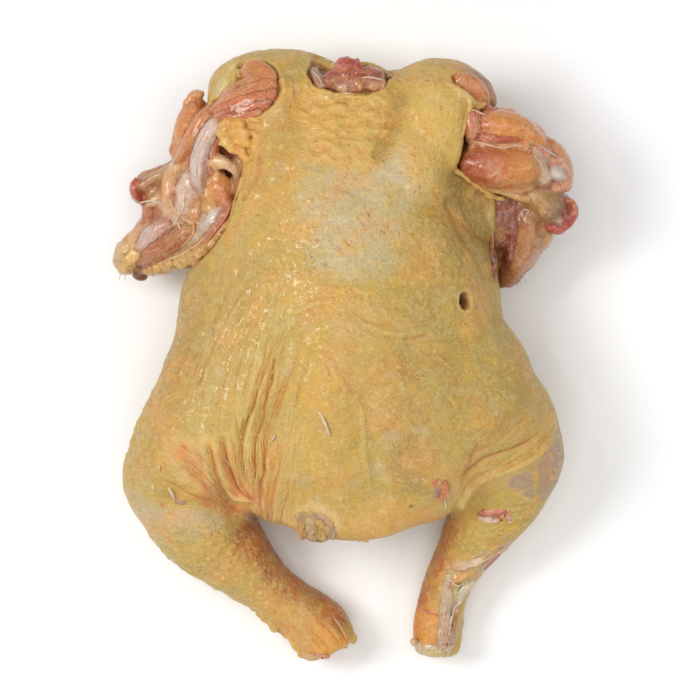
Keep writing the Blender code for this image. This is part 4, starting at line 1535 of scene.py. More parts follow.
LEFT_WING = (
    Lobe(((224, 134, 70), (232, 150, 82), (216, 132, 74)), 0.35, 0.7, 0.7,
        ((-62, 115, 47, 3.6, 5), (-66, 112, 46, 5.6, 7), (-69, 104, 46, 6.6, 8), (-72, 96, 43, 5.6, 7),
        (-76, 89, 40, 3.4, 5))),
    Lobe(((232, 156, 84), (234, 164, 90)), 0.1, 0.9, 0.8,
        ((-62, 117.4, 50, 1.6, 2.4), (-66, 117.6, 49, 2.4, 3), (-69.4, 114.6, 48, 2.0, 3),
        (-71, 110, 47, 1.4, 2.4))),
    Lobe((ORANGE, (230, 142, 82)), 0.7, 0.15, 0.9,
        ((-58, 112, 55, 3.0, 5), (-63.5, 105, 54, 4.0, 6), (-68.5, 97, 51, 3.8, 6), (-73, 89.5, 46, 2.6, 5),
        (-75, 85, 42, 1.6, 3))),
    Lobe((PINK, VIOLET, VIOLET, (222, 196, 184)), 0.6, 0.08, 1.0,
        ((-53.5, 105.5, 64, 3.4, 4), (-58, 101, 62, 4.2, 6), (-61.6, 94, 59, 4.6, 7),
        (-63.8, 86.5, 56, 4.4, 6.5), (-64, 79, 53, 3.8, 5), (-62, 72, 50, 3.0, 4))),
    Lobe((RED, (222, 112, 74), RED), 0.9, 0.1, 0.9,
        ((-52.6, 102, 61, 2.4, 4), (-56, 96, 60, 2.6, 5), (-58.6, 89, 57, 2.6, 5),
        (-59.4, 82, 54, 2.2, 4))),
    Lobe((PALE_FAT, (236, 172, 118), PINK), 0.3, 0.7, 0.8,
        ((-70.5, 91, 47, 2.6, 4), (-75, 84, 45, 4.0, 5), (-77.6, 76, 45, 4.6, 6), (-78.2, 67, 43, 4.0, 5),
        (-76, 60, 40, 2.6, 4))),
    Lobe((PINK, (240, 214, 200), (226, 196, 186)), 0.3, 0.6, 1.0,
        ((-68, 84, 49, 2.6, 4), (-70, 77, 49.6, 4.4, 5.5), (-70.6, 70, 49, 4.8, 5.5), (-73, 63, 45, 3.8, 4),
        (-77, 58, 41, 2, 3))),
    Lobe(((232, 168, 108), (236, 190, 150)), 0.2, 0.9, 0.9,
        ((-64.6, 72, 50, 2.6, 3), (-66, 66, 49, 3.4, 4), (-68, 60.6, 46, 3.2, 4), (-71, 56.6, 43, 2, 3))),
    Lobe(((240, 240, 244), GRISTLE, (212, 226, 234), (210, 214, 196)), 0.1, 0.15, 1.0,
        ((-50.6, 67.6, 53, 1.8, 2.4), (-54, 65, 53.4, 2.8, 3), (-58.6, 61, 52, 3.4, 3.6),
        (-63.6, 56.6, 48.6, 3.0, 3.2), (-69, 52.4, 45, 2.2, 2.6))),
    Lobe(((236, 190, 150), (238, 214, 200), GRISTLE), 0.2, 0.6, 1.0,
        ((-69, 69, 46, 2.6, 4), (-65.6, 66, 46.6, 3.4, 5), (-62.6, 63, 47, 3.0, 4.4),
        (-60, 60, 46.6, 2.2, 4))),
    Lobe(((214, 212, 180), (206, 186, 130), (190, 172, 124), PALE_FAT), 0.2, 0.2, 0.9,
        ((-64, 55.6, 48, 2.2, 2.6), (-71, 50, 44, 1.9, 2.6), (-80, 45, 38, 1.6, 2.2),
        (-88, 42, 32, 1.3, 2))),
    Lobe((BROWN, (200, 124, 82), (192, 108, 72), BROWN), 1.0, 0.1, 0.9,
        ((-64, 60, 46, 3, 4), (-70, 57, 45, 4.8, 6), (-78, 52, 40, 5.4, 6.5), (-87, 46.5, 34, 4.4, 6),
        (-93, 43, 29, 2.6, 4))),
    Lobe(((206, 132, 96), VIOLET, (214, 142, 104)), 0.9, 0.1, 0.9,
        ((-74, 63, 43, 2.6, 3), (-81, 59.5, 41, 4.2, 5), (-88, 54, 36, 4.2, 6), (-95, 48, 29, 3, 5))),
    Lobe(((226, 164, 110), (230, 190, 126), (218, 206, 180)), 0.3, 0.9, 0.7,
        ((-84, 61.5, 34, 2.8, 4), (-91, 56, 32, 4.4, 7), (-97.5, 49.5, 28, 5.4, 8),
        (-100.6, 44.5, 25, 4.4, 7), (-101, 41, 23, 2.4, 5))),
    Lobe((FAT, (234, 196, 112), PALE_FAT), 0.1, 1.0, 0.6,
        ((-90, 50, 34, 3, 4), (-95, 46.5, 32, 4.4, 6), (-98.5, 42.5, 28, 3.8, 6), (-99, 39.5, 25, 2.4, 4))),
    Lobe(((228, 196, 128), (206, 206, 190)), 0.1, 0.6, 0.8,
        ((-97, 53, 31, 1.6, 3), (-101.4, 49, 29, 2.2, 4), (-103, 44.6, 27, 1.8, 4),
        (-102, 40.6, 25, 1.4, 3))),
    Lobe(((150, 84, 62), (132, 64, 52), (120, 50, 44)), 0.2, 0.2, 0.9,
        ((-93, 44, 26, 3.4, 5), (-92.6, 40.5, 25, 4.2, 5), (-92.5, 37.5, 23, 3.8, 4.6),
        (-92.5, 35.6, 22, 2.4, 3))),
    Lobe(((44, 18, 16), (56, 22, 18)), 0, 0.1, 1.0,
        ((-94.6, 38.6, 26.4, 1.2, 1.6), (-92.6, 38.0, 27.4, 1.8, 1.8), (-90.4, 38.4, 26.6, 1.2, 1.6))),
    Lobe(((204, 124, 92), (198, 120, 90), (222, 170, 110)), 0.5, 0.9, 0.8,
        ((-49, 70, 56, 1.6, 3), (-52.4, 63.6, 55, 2.6, 4), (-57, 57, 52, 3.0, 5), (-62, 52, 48, 2.8, 5))),
    Lobe((FAT, (226, 190, 108), (218, 184, 104), (230, 194, 120)), 0.1, 1.0, 0.5,
        ((-51.6, 62, 56, 1.8, 3), (-55, 55.6, 53, 3.0, 5), (-60, 50.6, 49, 3.8, 6),
        (-67, 46.6, 44, 4.4, 6.5), (-76, 43.2, 38, 4.0, 6), (-85, 40.6, 31, 3.0, 5),
        (-90, 39.6, 27, 1.8, 3))),
    Lobe(((242, 196, 150), (246, 214, 176), (246, 220, 180)), 0.1, 0.7, 0.9,
        ((-60, 87.4, 58, 2.6, 3.4), (-55.6, 87.4, 60, 3.6, 3.4), (-51.4, 86.4, 60.6, 3.0, 2.8),
        (-48.2, 83.4, 60, 1.6, 2.0), (-48.6, 80.6, 58.6, 1.0, 1.6))),
    Lobe((FAT, (234, 156, 92), (230, 146, 86), (222, 136, 84)), 0.1, 1.0, 0.8,
        ((-59, 83.6, 54, 3.4, 4), (-55.6, 79.5, 54, 4.0, 4.5), (-54.6, 74.5, 54, 4.8, 5),
        (-53, 70, 53, 3.6, 4), (-52, 67, 51, 2.4, 3))),
    Lobe(((240, 190, 140), (232, 176, 120)), 0.1, 0.9, 0.9,
        ((-64, 70, 50, 2.0, 3), (-59, 67.6, 51, 3.0, 3.6), (-54.4, 67, 52, 2.6, 3))),
    Lobe(((232, 158, 90), FAT), 0.1, 0.9, 0.7,
        ((-61, 80.5, 55, 1.6, 2.4), (-58.5, 77, 54.6, 2.8, 3), (-58.6, 72, 53.6, 3.4, 3),
        (-60.6, 66.6, 51, 2.4, 2.6))),
    Lobe(((204, 170, 108), (192, 150, 96), (156, 100, 70)), 0.2, 0.15, 0.4,
        ((-72, 88, 44, 2.6, 3), (-79, 84, 42, 2.8, 4), (-85, 81, 40, 3.0, 4.2), (-90, 78, 38, 3.4, 4.6),
        (-92, 76, 37, 3, 4.4))),
    Lobe(((200, 72, 60), (186, 56, 52), (150, 50, 44)), 0.1, 0.6, 1.0,
        ((-91.5, 81.5, 39, 2.4, 3.2), (-94, 77.5, 38, 2.6, 4.4), (-93.4, 73.5, 35, 2.4, 4.4),
        (-90.6, 70.5, 32, 1.8, 3))),
    Lobe(((120, 60, 44), (200, 120, 76), (208, 132, 88)), 0.6, 0.6, 0.7,
        ((-80, 79, 34, 3, 4), (-84, 73.6, 34, 4.4, 6), (-87, 67, 32, 4.4, 7), (-90, 62, 29, 3, 6),
        (-95, 56, 26, 2.4, 5))),
    Lobe(((236, 190, 150), (240, 206, 176), (232, 160, 104)), 0.3, 0.8, 0.9,
        ((-80, 73, 43, 2.2, 3), (-84.6, 71.4, 41, 2.6, 3.4), (-88, 68, 39, 2.0, 3))),
    # Dark red lobes deep in the recess between wing and body: dark red meat, darkened further as painted
    # shade.
    Lobe(((196, 84, 54), (160, 66, 42), (150, 78, 46)), 0.6, 0.5, 0.9,
        ((-57, 98, 50, 5, 7), (-51.6, 93, 49, 5.5, 7), (-49, 84, 42, 5.5, 7), (-51, 74, 40, 5, 7),
        (-58, 62, 38, 5, 7))),
    # Brown lobes down the recess wall: painted shade on the tucked-in skin.
    Lobe(((196, 130, 74), (190, 132, 80), (170, 104, 62)), 0.5, 0.4, 0.6,
        ((-47, 92, 55, 3.4, 6), (-45.6, 86, 55, 3.4, 6), (-46.4, 80, 53, 3.4, 6),
        (-48.6, 72, 50.6, 3.0, 5))),
    # A big dark lobe under the wing: painted shadow that fills the gaps below it.
    Lobe((SHADOW, (150, 92, 60)), 0.3, 0.4, 0.6,
        ((-60, 94, 40, 7, 9), (-66, 82, 38, 7, 10), (-71, 66, 33, 7, 9), (-80, 54, 27, 5, 7),
        (-90, 46, 22, 4, 6))),
)


def wing(name, lobes, side_wall, grow_in, decorate, seed, soften_steps=5, core_tone=(196, 128, 80)):
    """A wing welded round its core, then dressed with threads by its own function."""
    heap = Heap()
    core = wing_core(WING_WALLS[side_wall], grow_in)
    tree = meat_body(heap, lobes, seed, core, soften_steps, core_tone)
    decorate(heap, tree, seed + 500)
    return heap.piece(name, MEAT)


def add_threads(heap, threads, tree, seed):
    """Fine cords, films and strips that lie on a finished surface, given as (tones, fibre, wet, knots)."""
    for index, (tones, fibre, wet, knots) in enumerate(threads):
        add_lobe(heap, Lobe(tones, fibre, 0, wet, knots), seed + 3 * index, tree=tree, lift=0.1, step=0.5)


def left_details(heap, tree, seed):
    """Threads along the bared arm, and the row of small ribs in the edge of the skin under the forearm."""
    threads = (
        ((PALE_FAT, (246, 226, 190)), 0.2, 0.9,
            ((-30, 124, 0.5, 0.5), (-38, 122, 0.6, 0.6), (-46, 118, 0.7, 0.6), (-54, 114.4, 0.6, 0.6))),
        (((250, 232, 204), (244, 214, 180)), 0.2, 0.9,
            ((-29, 118.6, 0.3, 0.4), (-38, 116.6, 0.4, 0.4), (-48, 113, 0.4, 0.4), (-56, 109.4, 0.3, 0.4))),
        (((250, 232, 204),), 0.2, 0.9,
            ((-31, 114, 0.3, 0.4), (-40, 112.8, 0.4, 0.4), (-49, 110.8, 0.4, 0.4), (-57, 107.6, 0.3, 0.4))),
        (((250, 232, 204),), 0.2, 0.9,
            ((-35, 110, 0.3, 0.3), (-43, 109, 0.4, 0.4), (-52, 107.6, 0.3, 0.3))),
        (((246, 222, 200), VIOLET), 0.2, 1.0,
            ((-57, 105, 0.4, 0.4), (-62.6, 98, 0.5, 0.5), (-66.6, 91, 0.5, 0.5), (-68.4, 84, 0.4, 0.4))),
        (((246, 222, 200), GRISTLE), 0.2, 1.0,
            ((-60, 98, 0.3, 0.4), (-64, 90, 0.4, 0.4), (-65.4, 82, 0.4, 0.4), (-64, 76, 0.4, 0.4))),
        (((250, 240, 226),), 0.2, 1.0,
            ((-73, 78, 0.4, 0.4), (-71, 72, 0.5, 0.5), (-72, 66, 0.5, 0.5), (-76, 60, 0.4, 0.4))),
        (((250, 232, 200),), 0.2, 0.9,
            ((-78.5, 74, 0.4, 0.5), (-76, 67, 0.5, 0.5), (-74, 61, 0.6, 0.5), (-73, 57.6, 0.3, 0.3))),
        (((246, 196, 120),), 0.2, 0.9,
            ((-68, 64, 0.5, 0.5), (-67, 60, 0.6, 0.5), (-67.6, 55, 0.5, 0.5), (-73, 49.6, 0.4, 0.4))),
        (((206, 92, 70), (220, 130, 96)), 0.2, 0.9,
            ((-62, 50.6, 0.6, 0.6), (-57.4, 56, 0.7, 0.7), (-53, 61.6, 0.7, 0.7), (-50.4, 66, 0.4, 0.5))),
        (((240, 200, 168),), 0.1, 0.9,
            ((-84, 42.6, 0.4, 0.5), (-75, 45.6, 0.6, 0.6), (-67, 49.6, 0.6, 0.6), (-60.6, 54.6, 0.5, 0.5))),
    )
    add_threads(heap, threads, tree, seed)
    for index in range(17):
        share = (index + 0.35 * math.sin(2.3 * index)) / 16
        x, y = -87 + 33 * share, 40.4 + 14.6 * share ** 1.5
        lean = 0.9 - 0.5 * share
        tone = (238, 200, 124) if index % 3 else (226, 176, 108)
        size = 0.75 + 0.3 * math.sin(1.7 * index)
        rib = (
            (x - 1.6 * lean, y + 1.7 * size, 0.6, 0.6),
            (x, y, 1.1 * size, 0.8 * size),
            (x + 1.4 * lean, y - 1.9, 0.8 * size, 0.6),
        )
        add_lobe(heap, Lobe((tone,), 0, 0.6, 0.6, rib), seed + 50 + index, tree=tree, lift=0.0, step=0.5)


wing("left_wing", LEFT_WING, "beside left", CORE_INSET, left_details, 100)
left_shoulder = Heap()
# The shoulder's furrows get a lighter, orange painted shade.
meat_body(left_shoulder, LEFT_SHOULDER, 300, soften_steps=14, shade_tone=(216, 112, 70))
left_shoulder.piece("left_shoulder_meat", MEAT)

# %% [markdown]
# ## The right wing
#
# The right wing is folded the other way round: two thick orange lobes of the upper arm lie on top, with
# a pale seam between them, and end in a knob of gristle. The forearm hangs behind, and the stub of the
# hand sticks out in front of it, still in its skin, with a red cut end.

# %% Right wing
OLIVE = (184, 152, 88)
RIGHT_WING = (
    Lobe((DEEP_RED, RED, DEEP_RED), 0.9, 0.15, 0.9,
        ((57, 111, 64, 3.4, 5), (56.5, 107, 65, 4.6, 6), (57, 101, 65, 4.6, 6), (57, 96.5, 63, 3, 5))),
    Lobe(((190, 96, 64), RED), 0.8, 0.2, 0.8,
        ((61, 111, 60, 2.6, 4), (65.5, 108.6, 60, 3.2, 5), (69, 105, 60, 2.6, 4))),
    Lobe((RED, (240, 158, 70), (242, 158, 70), (234, 146, 70)), 0.2, 0.5, 1.0,
        ((58, 104, 62, 4, 6), (65, 103.6, 63, 6.4, 8), (74, 102.4, 61.6, 6.6, 8.6), (83, 99, 58, 5, 7.4),
        (89, 95, 54, 3, 5))),
    Lobe(((230, 150, 80), (236, 156, 82)), 0.3, 0.9, 0.9,
        ((64, 108, 56, 3.4, 6), (72, 107, 56, 4.4, 8), (81, 102.4, 54, 4.6, 8), (89, 96.6, 51, 3.8, 7))),
    Lobe(((204, 84, 52), (200, 78, 48), (210, 96, 60)), 0.8, 0.1, 1.0,
        ((57, 98.6, 66, 1.6, 3), (66, 97, 66, 2.0, 3.4), (75, 97.4, 64, 2.0, 3.4), (84, 98.6, 60, 1.6, 3))),
    Lobe(((228, 160, 112), (236, 186, 130)), 0.4, 0.6, 0.9,
        ((54, 96.6, 65, 1.4, 2), (62, 95, 65.3, 2.0, 2.4), (70, 93.2, 64.8, 2.2, 2.6),
        (77, 94.2, 63.3, 1.8, 2.4), (83, 93, 61, 1.4, 2))),
    Lobe(((150, 56, 34), (190, 92, 50), (236, 156, 72), (242, 168, 80)), 0.25, 0.5, 1.0,
        ((51, 88, 57, 5, 7), (60, 86.4, 60, 9, 9.4), (70, 85, 60.6, 9.6, 9.8), (79, 84.6, 59, 8.6, 9),
        (86, 86.6, 55, 5, 6))),
    Lobe((RED, (226, 130, 78), (232, 146, 84)), 0.5, 0.3, 1.0,
        ((54, 92.6, 61.6, 2.4, 4), (64, 92, 63, 2.8, 4), (74, 91.4, 62.6, 2.8, 4), (83, 91, 60.4, 2.4, 4))),
    Lobe((VIOLET, (214, 188, 166), PINK), 0.3, 0.3, 1.0,
        ((82, 95, 58, 3, 4), (85, 89, 58, 4.4, 5.4), (87.4, 83, 57, 4.0, 5), (90, 78.6, 54, 2.6, 4))),
    Lobe(((230, 140, 110), (226, 160, 130)), 0.2, 0.3, 1.0,
        ((84, 93.6, 58.6, 2, 3.4), (88.6, 92.4, 58, 3, 4), (92, 89.6, 57, 2.2, 3.4))),
    Lobe(((224, 220, 228), (236, 232, 240), (226, 220, 226)), 0.05, 0.2, 1.0,
        ((91.6, 83.6, 55.4, 1.8, 2.6), (93.8, 82.8, 56, 2.6, 3.4), (96.4, 81.4, 55.4, 2.5, 3),
        (98.2, 80.4, 54, 1.6, 2.4))),
    Lobe(((196, 110, 80), (236, 190, 168), (222, 150, 118)), 0.2, 0.9, 1.0,
        ((90, 79, 53, 2.2, 4), (89.6, 85, 54, 2.4, 4), (93.4, 88.4, 54, 2.6, 4), (98, 86.6, 52, 2.6, 4),
        (100, 82, 50, 2.6, 4), (98.6, 77.4, 50, 2.6, 4), (94.6, 76.6, 51, 2.8, 4),
        (91.4, 78.6, 52, 2.2, 4))),
    Lobe(((200, 180, 160), (206, 170, 150)), 0.3, 0.7, 1.0,
        ((86, 90, 57, 1.6, 2.4), (88.6, 85, 57, 2.2, 2.6), (89, 80.4, 55.6, 1.6, 2.4))),
    Lobe(((232, 150, 86), (236, 156, 84), (238, 160, 88)), 0.2, 0.9, 0.7,
        ((84, 100, 50, 2.6, 4), (91, 95.4, 50, 3.4, 6), (96.4, 90.6, 49, 3.4, 6), (99.6, 85, 48, 3, 5.6),
        (99.6, 79, 47.5, 2.8, 5), (98.4, 74.6, 47, 2.2, 4))),
    Lobe(((200, 130, 90), (226, 150, 104)), 0.3, 0.4, 0.8,
        ((88, 91, 48, 7, 9), (92, 83, 47, 7.4, 9), (92, 76, 46, 6, 8))),
    Lobe(((214, 150, 96), (232, 190, 130), (236, 186, 120)), 0.3, 0.4, 0.7,
        ((56, 78.6, 57, 1.4, 3), (62, 76.8, 58, 1.8, 3), (69, 74.6, 58, 2.0, 3), (76, 72.4, 56.5, 2.0, 3),
        (83, 70.2, 54.6, 1.4, 2.4))),
    Lobe(((226, 160, 104), (238, 196, 138)), 0.3, 0.4, 0.7,
        ((60, 78.4, 60, 1.2, 2.4), (70, 75.8, 60, 1.4, 2.4), (78, 74.8, 58.6, 1.4, 2.4),
        (85, 77, 56.6, 1.2, 2))),
    Lobe((OLIVE, OLIVE, (160, 128, 90), (140, 108, 84)), 0.2, 0.2, 0.4,
        ((79, 74.4, 50, 3.6, 5), (86, 72, 50.5, 5.6, 6.5), (93, 67.4, 49, 7.2, 7),
        (98.4, 64, 47.6, 7.4, 6.6))),
    Lobe(((150, 56, 48), (170, 52, 48), (150, 44, 42)), 0.2, 0.6, 1.0,
        ((99, 68, 48, 4.4, 5), (100, 65, 47.4, 5.0, 5.4), (97, 61.6, 47, 4.6, 5),
        (93.4, 60.4, 47, 3.2, 4))),
    Lobe(((182, 46, 44), (200, 62, 54), (170, 38, 40)), 0.2, 0.8, 1.0,
        ((98, 71.4, 50, 1.4, 3), (101.6, 70, 49.6, 1.8, 4), (103.2, 65.8, 48.6, 1.8, 4.6),
        (101.8, 61.4, 47.6, 1.8, 4.6), (97, 57.8, 47, 1.8, 4), (92.4, 58.4, 47, 1.5, 3.6),
        (90.6, 61, 47.6, 1.2, 3))),
    Lobe(((190, 180, 180), (220, 214, 214)), 0, 0.3, 1.0,
        ((94.4, 62.4, 51.4, 1.0, 1.6), (96, 61.4, 51.6, 1.5, 1.8), (97.6, 60.6, 51, 1.0, 1.4))),
    Lobe(((140, 84, 50), (196, 138, 88), (188, 126, 82), (184, 108, 62)), 0.4, 0.3, 0.5,
        ((80, 70, 40, 5, 8), (83, 61, 40, 6.6, 9.5), (83, 53, 38, 6.6, 9.5), (79, 44, 33, 5.4, 9),
        (75.2, 36.4, 28, 3.8, 7), (73.4, 33, 26, 2.6, 5))),
    Lobe(((190, 140, 86), (222, 178, 116), (226, 176, 132)), 0.4, 0.4, 0.6,
        ((86, 65, 39, 3.4, 6), (91, 58.8, 38, 4.0, 7), (90.4, 54, 36, 3.6, 7), (86.4, 47.6, 32, 3.2, 6),
        (82.4, 41, 29, 2.4, 5))),
    Lobe(((206, 164, 118), (232, 198, 150), (214, 160, 128)), 0.4, 0.3, 0.8,
        ((92, 61, 43, 1.2, 2), (87.6, 55.6, 44.4, 1.5, 2.4), (82.6, 50.6, 43.6, 1.5, 2.4),
        (79, 46, 40.4, 1.1, 2))),
    Lobe(((196, 156, 150), (206, 164, 156)), 0.4, 0.3, 0.9,
        ((77, 42, 38, 1.4, 2.4), (81.6, 46.4, 41.4, 2.0, 3), (86.4, 50.8, 40, 1.6, 2.6))),
    # A dark strip down the forearm's inner side: painted shadow in the gap there.
    Lobe(((150, 66, 46), (132, 54, 40), (150, 70, 46)), 0.4, 0.3, 0.7,
        ((74.6, 70, 40, 3, 8), (75.6, 60, 39, 3.2, 9), (75.2, 49, 36, 3.0, 8), (72.6, 38, 30, 2.6, 6),
        (71, 33.6, 26, 2, 4.6))),
    Lobe(((196, 124, 76), (210, 140, 88)), 0.6, 0.3, 0.5,
        ((77, 46, 36, 1.6, 3), (75.4, 40, 33, 2.2, 4), (73, 34.4, 29, 1.8, 3.4))),
    Lobe(((220, 160, 110), (214, 150, 104)), 0.6, 0.3, 0.5,
        ((82.6, 44, 35, 1.8, 3), (79.6, 38.6, 32, 2.4, 4), (76.8, 34.4, 29, 1.8, 3.4))),
    # Near-black lobes in the recess beside the right shoulder: painted shadow.
    Lobe(((98, 40, 26), (110, 46, 30), SHADOW), 0.6, 0.4, 0.8,
        ((53, 100, 50, 4, 8), (52, 92, 48, 5.4, 9), (52, 84, 46, 5.4, 9), (58, 76, 42, 5, 8))),
    # A big dark lobe under the wing: painted shadow that fills the gaps below it.
    Lobe((SHADOW, (150, 86, 54)), 0.3, 0.4, 0.6,
        ((66, 100, 46, 8, 9), (72, 90, 44, 9, 10), (78, 80, 42, 8, 10), (82, 70, 38, 6, 9))),
)


def right_details(heap, tree, seed):
    """The pale seam between the two lobes of the arm, and films over the elbow."""
    threads = (
        (((246, 210, 176),), 0.2, 1.0,
            ((56, 96, 0.3, 0.4), (63, 94.4, 0.4, 0.5), (70, 92.8, 0.4, 0.5), (76, 94, 0.4, 0.4),
            (82, 92.6, 0.3, 0.4))),
        (((244, 210, 190),), 0.2, 1.0,
            ((55, 109.6, 0.5, 0.5), (59, 108.6, 0.5, 0.5), (62.6, 107, 0.4, 0.4))),
        (((232, 190, 176), GRISTLE), 0.2, 1.0,
            ((82, 96, 0.3, 0.4), (86, 94.6, 0.4, 0.4), (91, 91.6, 0.4, 0.4), (95, 89.6, 0.3, 0.4))),
        (((236, 214, 196),), 0.2, 1.0,
            ((84, 90, 0.3, 0.4), (87, 86, 0.4, 0.4), (89, 80, 0.4, 0.4), (91.6, 77.4, 0.4, 0.5))),
    )
    add_threads(heap, threads, tree, seed)


RIGHT_CORE_TONE = (140, 76, 48)
wing("right_wing", RIGHT_WING, "beside right", -CORE_INSET, right_details, 700, 9, RIGHT_CORE_TONE)
RIGHT_SHOULDER = (
    Lobe(((226, 140, 86), (232, 146, 86), (228, 138, 84)), 0.4, 0.3, 0.8,
        ((48.6, 125, 2.4, 1.6), (52, 122.4, 4.4, 2), (57, 119, 5.2, 2), (61.4, 115.4, 3.6, 2),
        (63.4, 113, 2.2, 1.6))),
    Lobe(((228, 148, 92), (214, 126, 82)), 0.5, 0.3, 0.8,
        ((52, 125.4, 1.8, 1.6), (56.6, 123.4, 2.8, 1.8), (61, 119.4, 2.8, 1.8), (63.4, 114.6, 1.8, 1.6))),
    Lobe(((206, 176, 176), (190, 156, 152), (196, 156, 146)), 0.3, 0.3, 0.9,
        ((49, 128.6, 1.4, 1.0), (56.6, 127, 2.0, 1.3), (62.6, 122.6, 2.2, 1.3), (66, 116.4, 2.0, 1.3),
        (67.6, 111.4, 1.4, 1.2))),
)
right_shoulder = Heap()
# The shoulder's furrows get a lighter, orange painted shade.
meat_body(right_shoulder, RIGHT_SHOULDER, 900, soften_steps=8, shade_tone=(210, 112, 68))
right_shoulder.piece("right_shoulder_meat", MEAT)


# %% [markdown]
# ## Torn skin
#
# Where the skin was pulled off the wings its edge curled up and its fat shows in lumps. These rolls and
# lumps are lobes too, welded and then painted with the skin's own material.

# %% Torn skin
# Painted shade for the furrows of torn skin, and a painted highlight for its crests.
SKIN_FURROW_SHADE, SKIN_CREST_HIGHLIGHT = (196, 120, 48), (246, 218, 146)
YOLK, BUTTER, CREAM = (230, 164, 84), (234, 184, 102), (244, 204, 140)


def edge_of(x, heading, highest=80):
    """The outermost point of the skin at this X, seen along +Y or -Y, as (y, z)."""
    best = None
    for step in range(8, highest, 2):
        hit = skin_tree.ray_cast(Vector((x, 220.0 * heading, step)), Vector((0, -heading, 0)))[0]
        if hit and (best is None or hit.y * heading > best[0] * heading):
            best = (hit.y, hit.z)
    return best


TORN_SKIN = (
    Lobe(((240, 182, 100), YOLK), 0.1, 1.0, 0.8,
        ((-53, 105.6, 1.4, 1.8), (-47, 106.4, 2.0, 2.2), (-40, 105.6, 2.0, 2.2), (-35, 103.6, 1.4, 1.8))),
    Lobe((YOLK, (240, 186, 104)), 0.1, 1.0, 0.8,
        ((-41, 101, 1.8, 1.6), (-37.6, 98, 2.2, 1.8), (-38.6, 93.6, 2.0, 1.6), (-39.6, 88, 1.4, 1.4))),
    Lobe((CREAM, (234, 158, 84), YOLK), 0.1, 1.0, 0.8,
        ((-55, 102.6, 66, 1.6, 2.4), (-51.4, 103.6, 68.6, 2.2, 2.8), (-47, 103.8, 70, 2.2, 2.8),
        (-42.6, 103, 71, 1.6, 2.4))),
    Lobe(((244, 206, 136), (230, 154, 80)), 0.1, 1.0, 0.8,
        ((-55.6, 98.4, 65, 1.6, 2.2), (-53.4, 99.8, 67, 2.4, 2.6), (-50.4, 100, 68.4, 1.8, 2.4))),
    Lobe(((232, 160, 82), CREAM), 0.1, 1.0, 0.8,
        ((-50, 98.4, 67.6, 1.8, 2.2), (-47.4, 99.6, 69.6, 2.6, 2.8), (-44, 99.2, 70.4, 2.2, 2.6),
        (-41, 98.6, 71, 1.4, 2.2))),
    Lobe(((236, 170, 90), (246, 210, 146)), 0.1, 1.0, 0.8,
        ((-55.4, 94.8, 63.4, 1.4, 2.2), (-52.4, 95.6, 65.6, 2.3, 2.6), (-49.6, 96, 66.8, 1.6, 2.4))),
    Lobe(((228, 152, 78), (238, 176, 98)), 0.1, 1.0, 0.8,
        ((-48.6, 95, 66.8, 1.6, 2.2), (-45.6, 95.6, 68.6, 2.6, 2.8), (-42.4, 94.8, 69.4, 2.0, 2.4),
        (-40, 93.6, 69.8, 1.2, 2))),
    Lobe(((244, 204, 140), YOLK), 0.1, 1.0, 0.8,
        ((-51.6, 92.4, 63.8, 1.2, 1.8), (-49, 92.2, 65.4, 1.9, 2.4), (-46.6, 92, 66.4, 1.4, 2.2))),
    Lobe(((238, 178, 92), YOLK), 0.1, 1.0, 0.8,
        ((-46.6, 90.6, 65.4, 1.3, 2), (-44.4, 90.2, 66.6, 2.1, 2.6), (-42.6, 88.4, 67.4, 2.0, 2.6),
        (-41.4, 85.6, 68, 1.3, 2))),
    Lobe((YOLK, (214, 160, 84)), 0.1, 0.5, 0.4,
        ((-43.6, 88, 65.4, 1.2, 2), (-43, 83, 64.6, 1.4, 2.4), (-44.6, 77.4, 63.6, 1.4, 2.4),
        (-47.6, 71, 61.6, 1.3, 2.2), (-49.4, 64, 60.4, 1.2, 2), (-52.4, 57.4, 58, 1.1, 2))),
    Lobe((CREAM, (244, 216, 150), BUTTER), 0.1, 0.6, 0.5,
        ((44, 121.6, 1.4, 1.0), (49, 118.2, 2.2, 1.4), (54, 114.6, 2.6, 1.6), (59, 111.8, 2.2, 1.5),
        (63, 113.2, 1.2, 1.2))),
    Lobe((BUTTER, YOLK, (220, 176, 96)), 0.1, 0.7, 0.5,
        ((57, 111.6, 67.6, 1.0, 1.6), (54.6, 109, 69, 1.6, 2.2), (53, 104.6, 69, 1.7, 2.4),
        (51.6, 98, 68.6, 1.7, 2.4), (50.4, 91.4, 66.6, 1.6, 2.2), (49.4, 86.6, 64.6, 1.6, 2.2),
        (46.6, 82.4, 64, 1.2, 1.8))),
    Lobe(((212, 176, 92), (216, 180, 104), (190, 140, 86)), 0.1, 0.8, 0.5,
        ((47, 83, 63.6, 1.2, 2), (51, 82, 62.6, 1.4, 2), (55, 79.6, 61, 1.5, 2), (60.6, 76.4, 57.6, 1.5, 2),
        (66, 72.6, 53.4, 1.4, 2), (72.4, 71, 50.4, 1.2, 2))),
    Lobe((YOLK, BUTTER, (236, 186, 110), BUTTER), 0.1, 0.9, 0.5,
        ((-20.6, 131, 0.9, 1.2), (-16.4, 124, 1.2, 1.6), (-14, 119.4, 1.4, 1.8), (-7, 116.6, 1.4, 1.8),
        (0, 115.6, 1.5, 1.8), (8, 115, 1.4, 1.8), (14, 116.4, 1.4, 1.8), (19.4, 120, 1.3, 1.8),
        (24, 126.4, 1.0, 1.4))),
)
TAIL_LUMPS = (
    (-38.6, 1.6), (-36.4, 2.0), (-34.4, 1.4), (-32.0, 2.1), (-29.2, 1.6), (-26.8, 2.0), (-24.2, 1.4),
    (-21.8, 2.1), (-19.8, 1.6), (-2.6, 1.6), (0.6, 1.9), (4.0, 2.1), (6.8, 1.5), (10.0, 1.6),
)


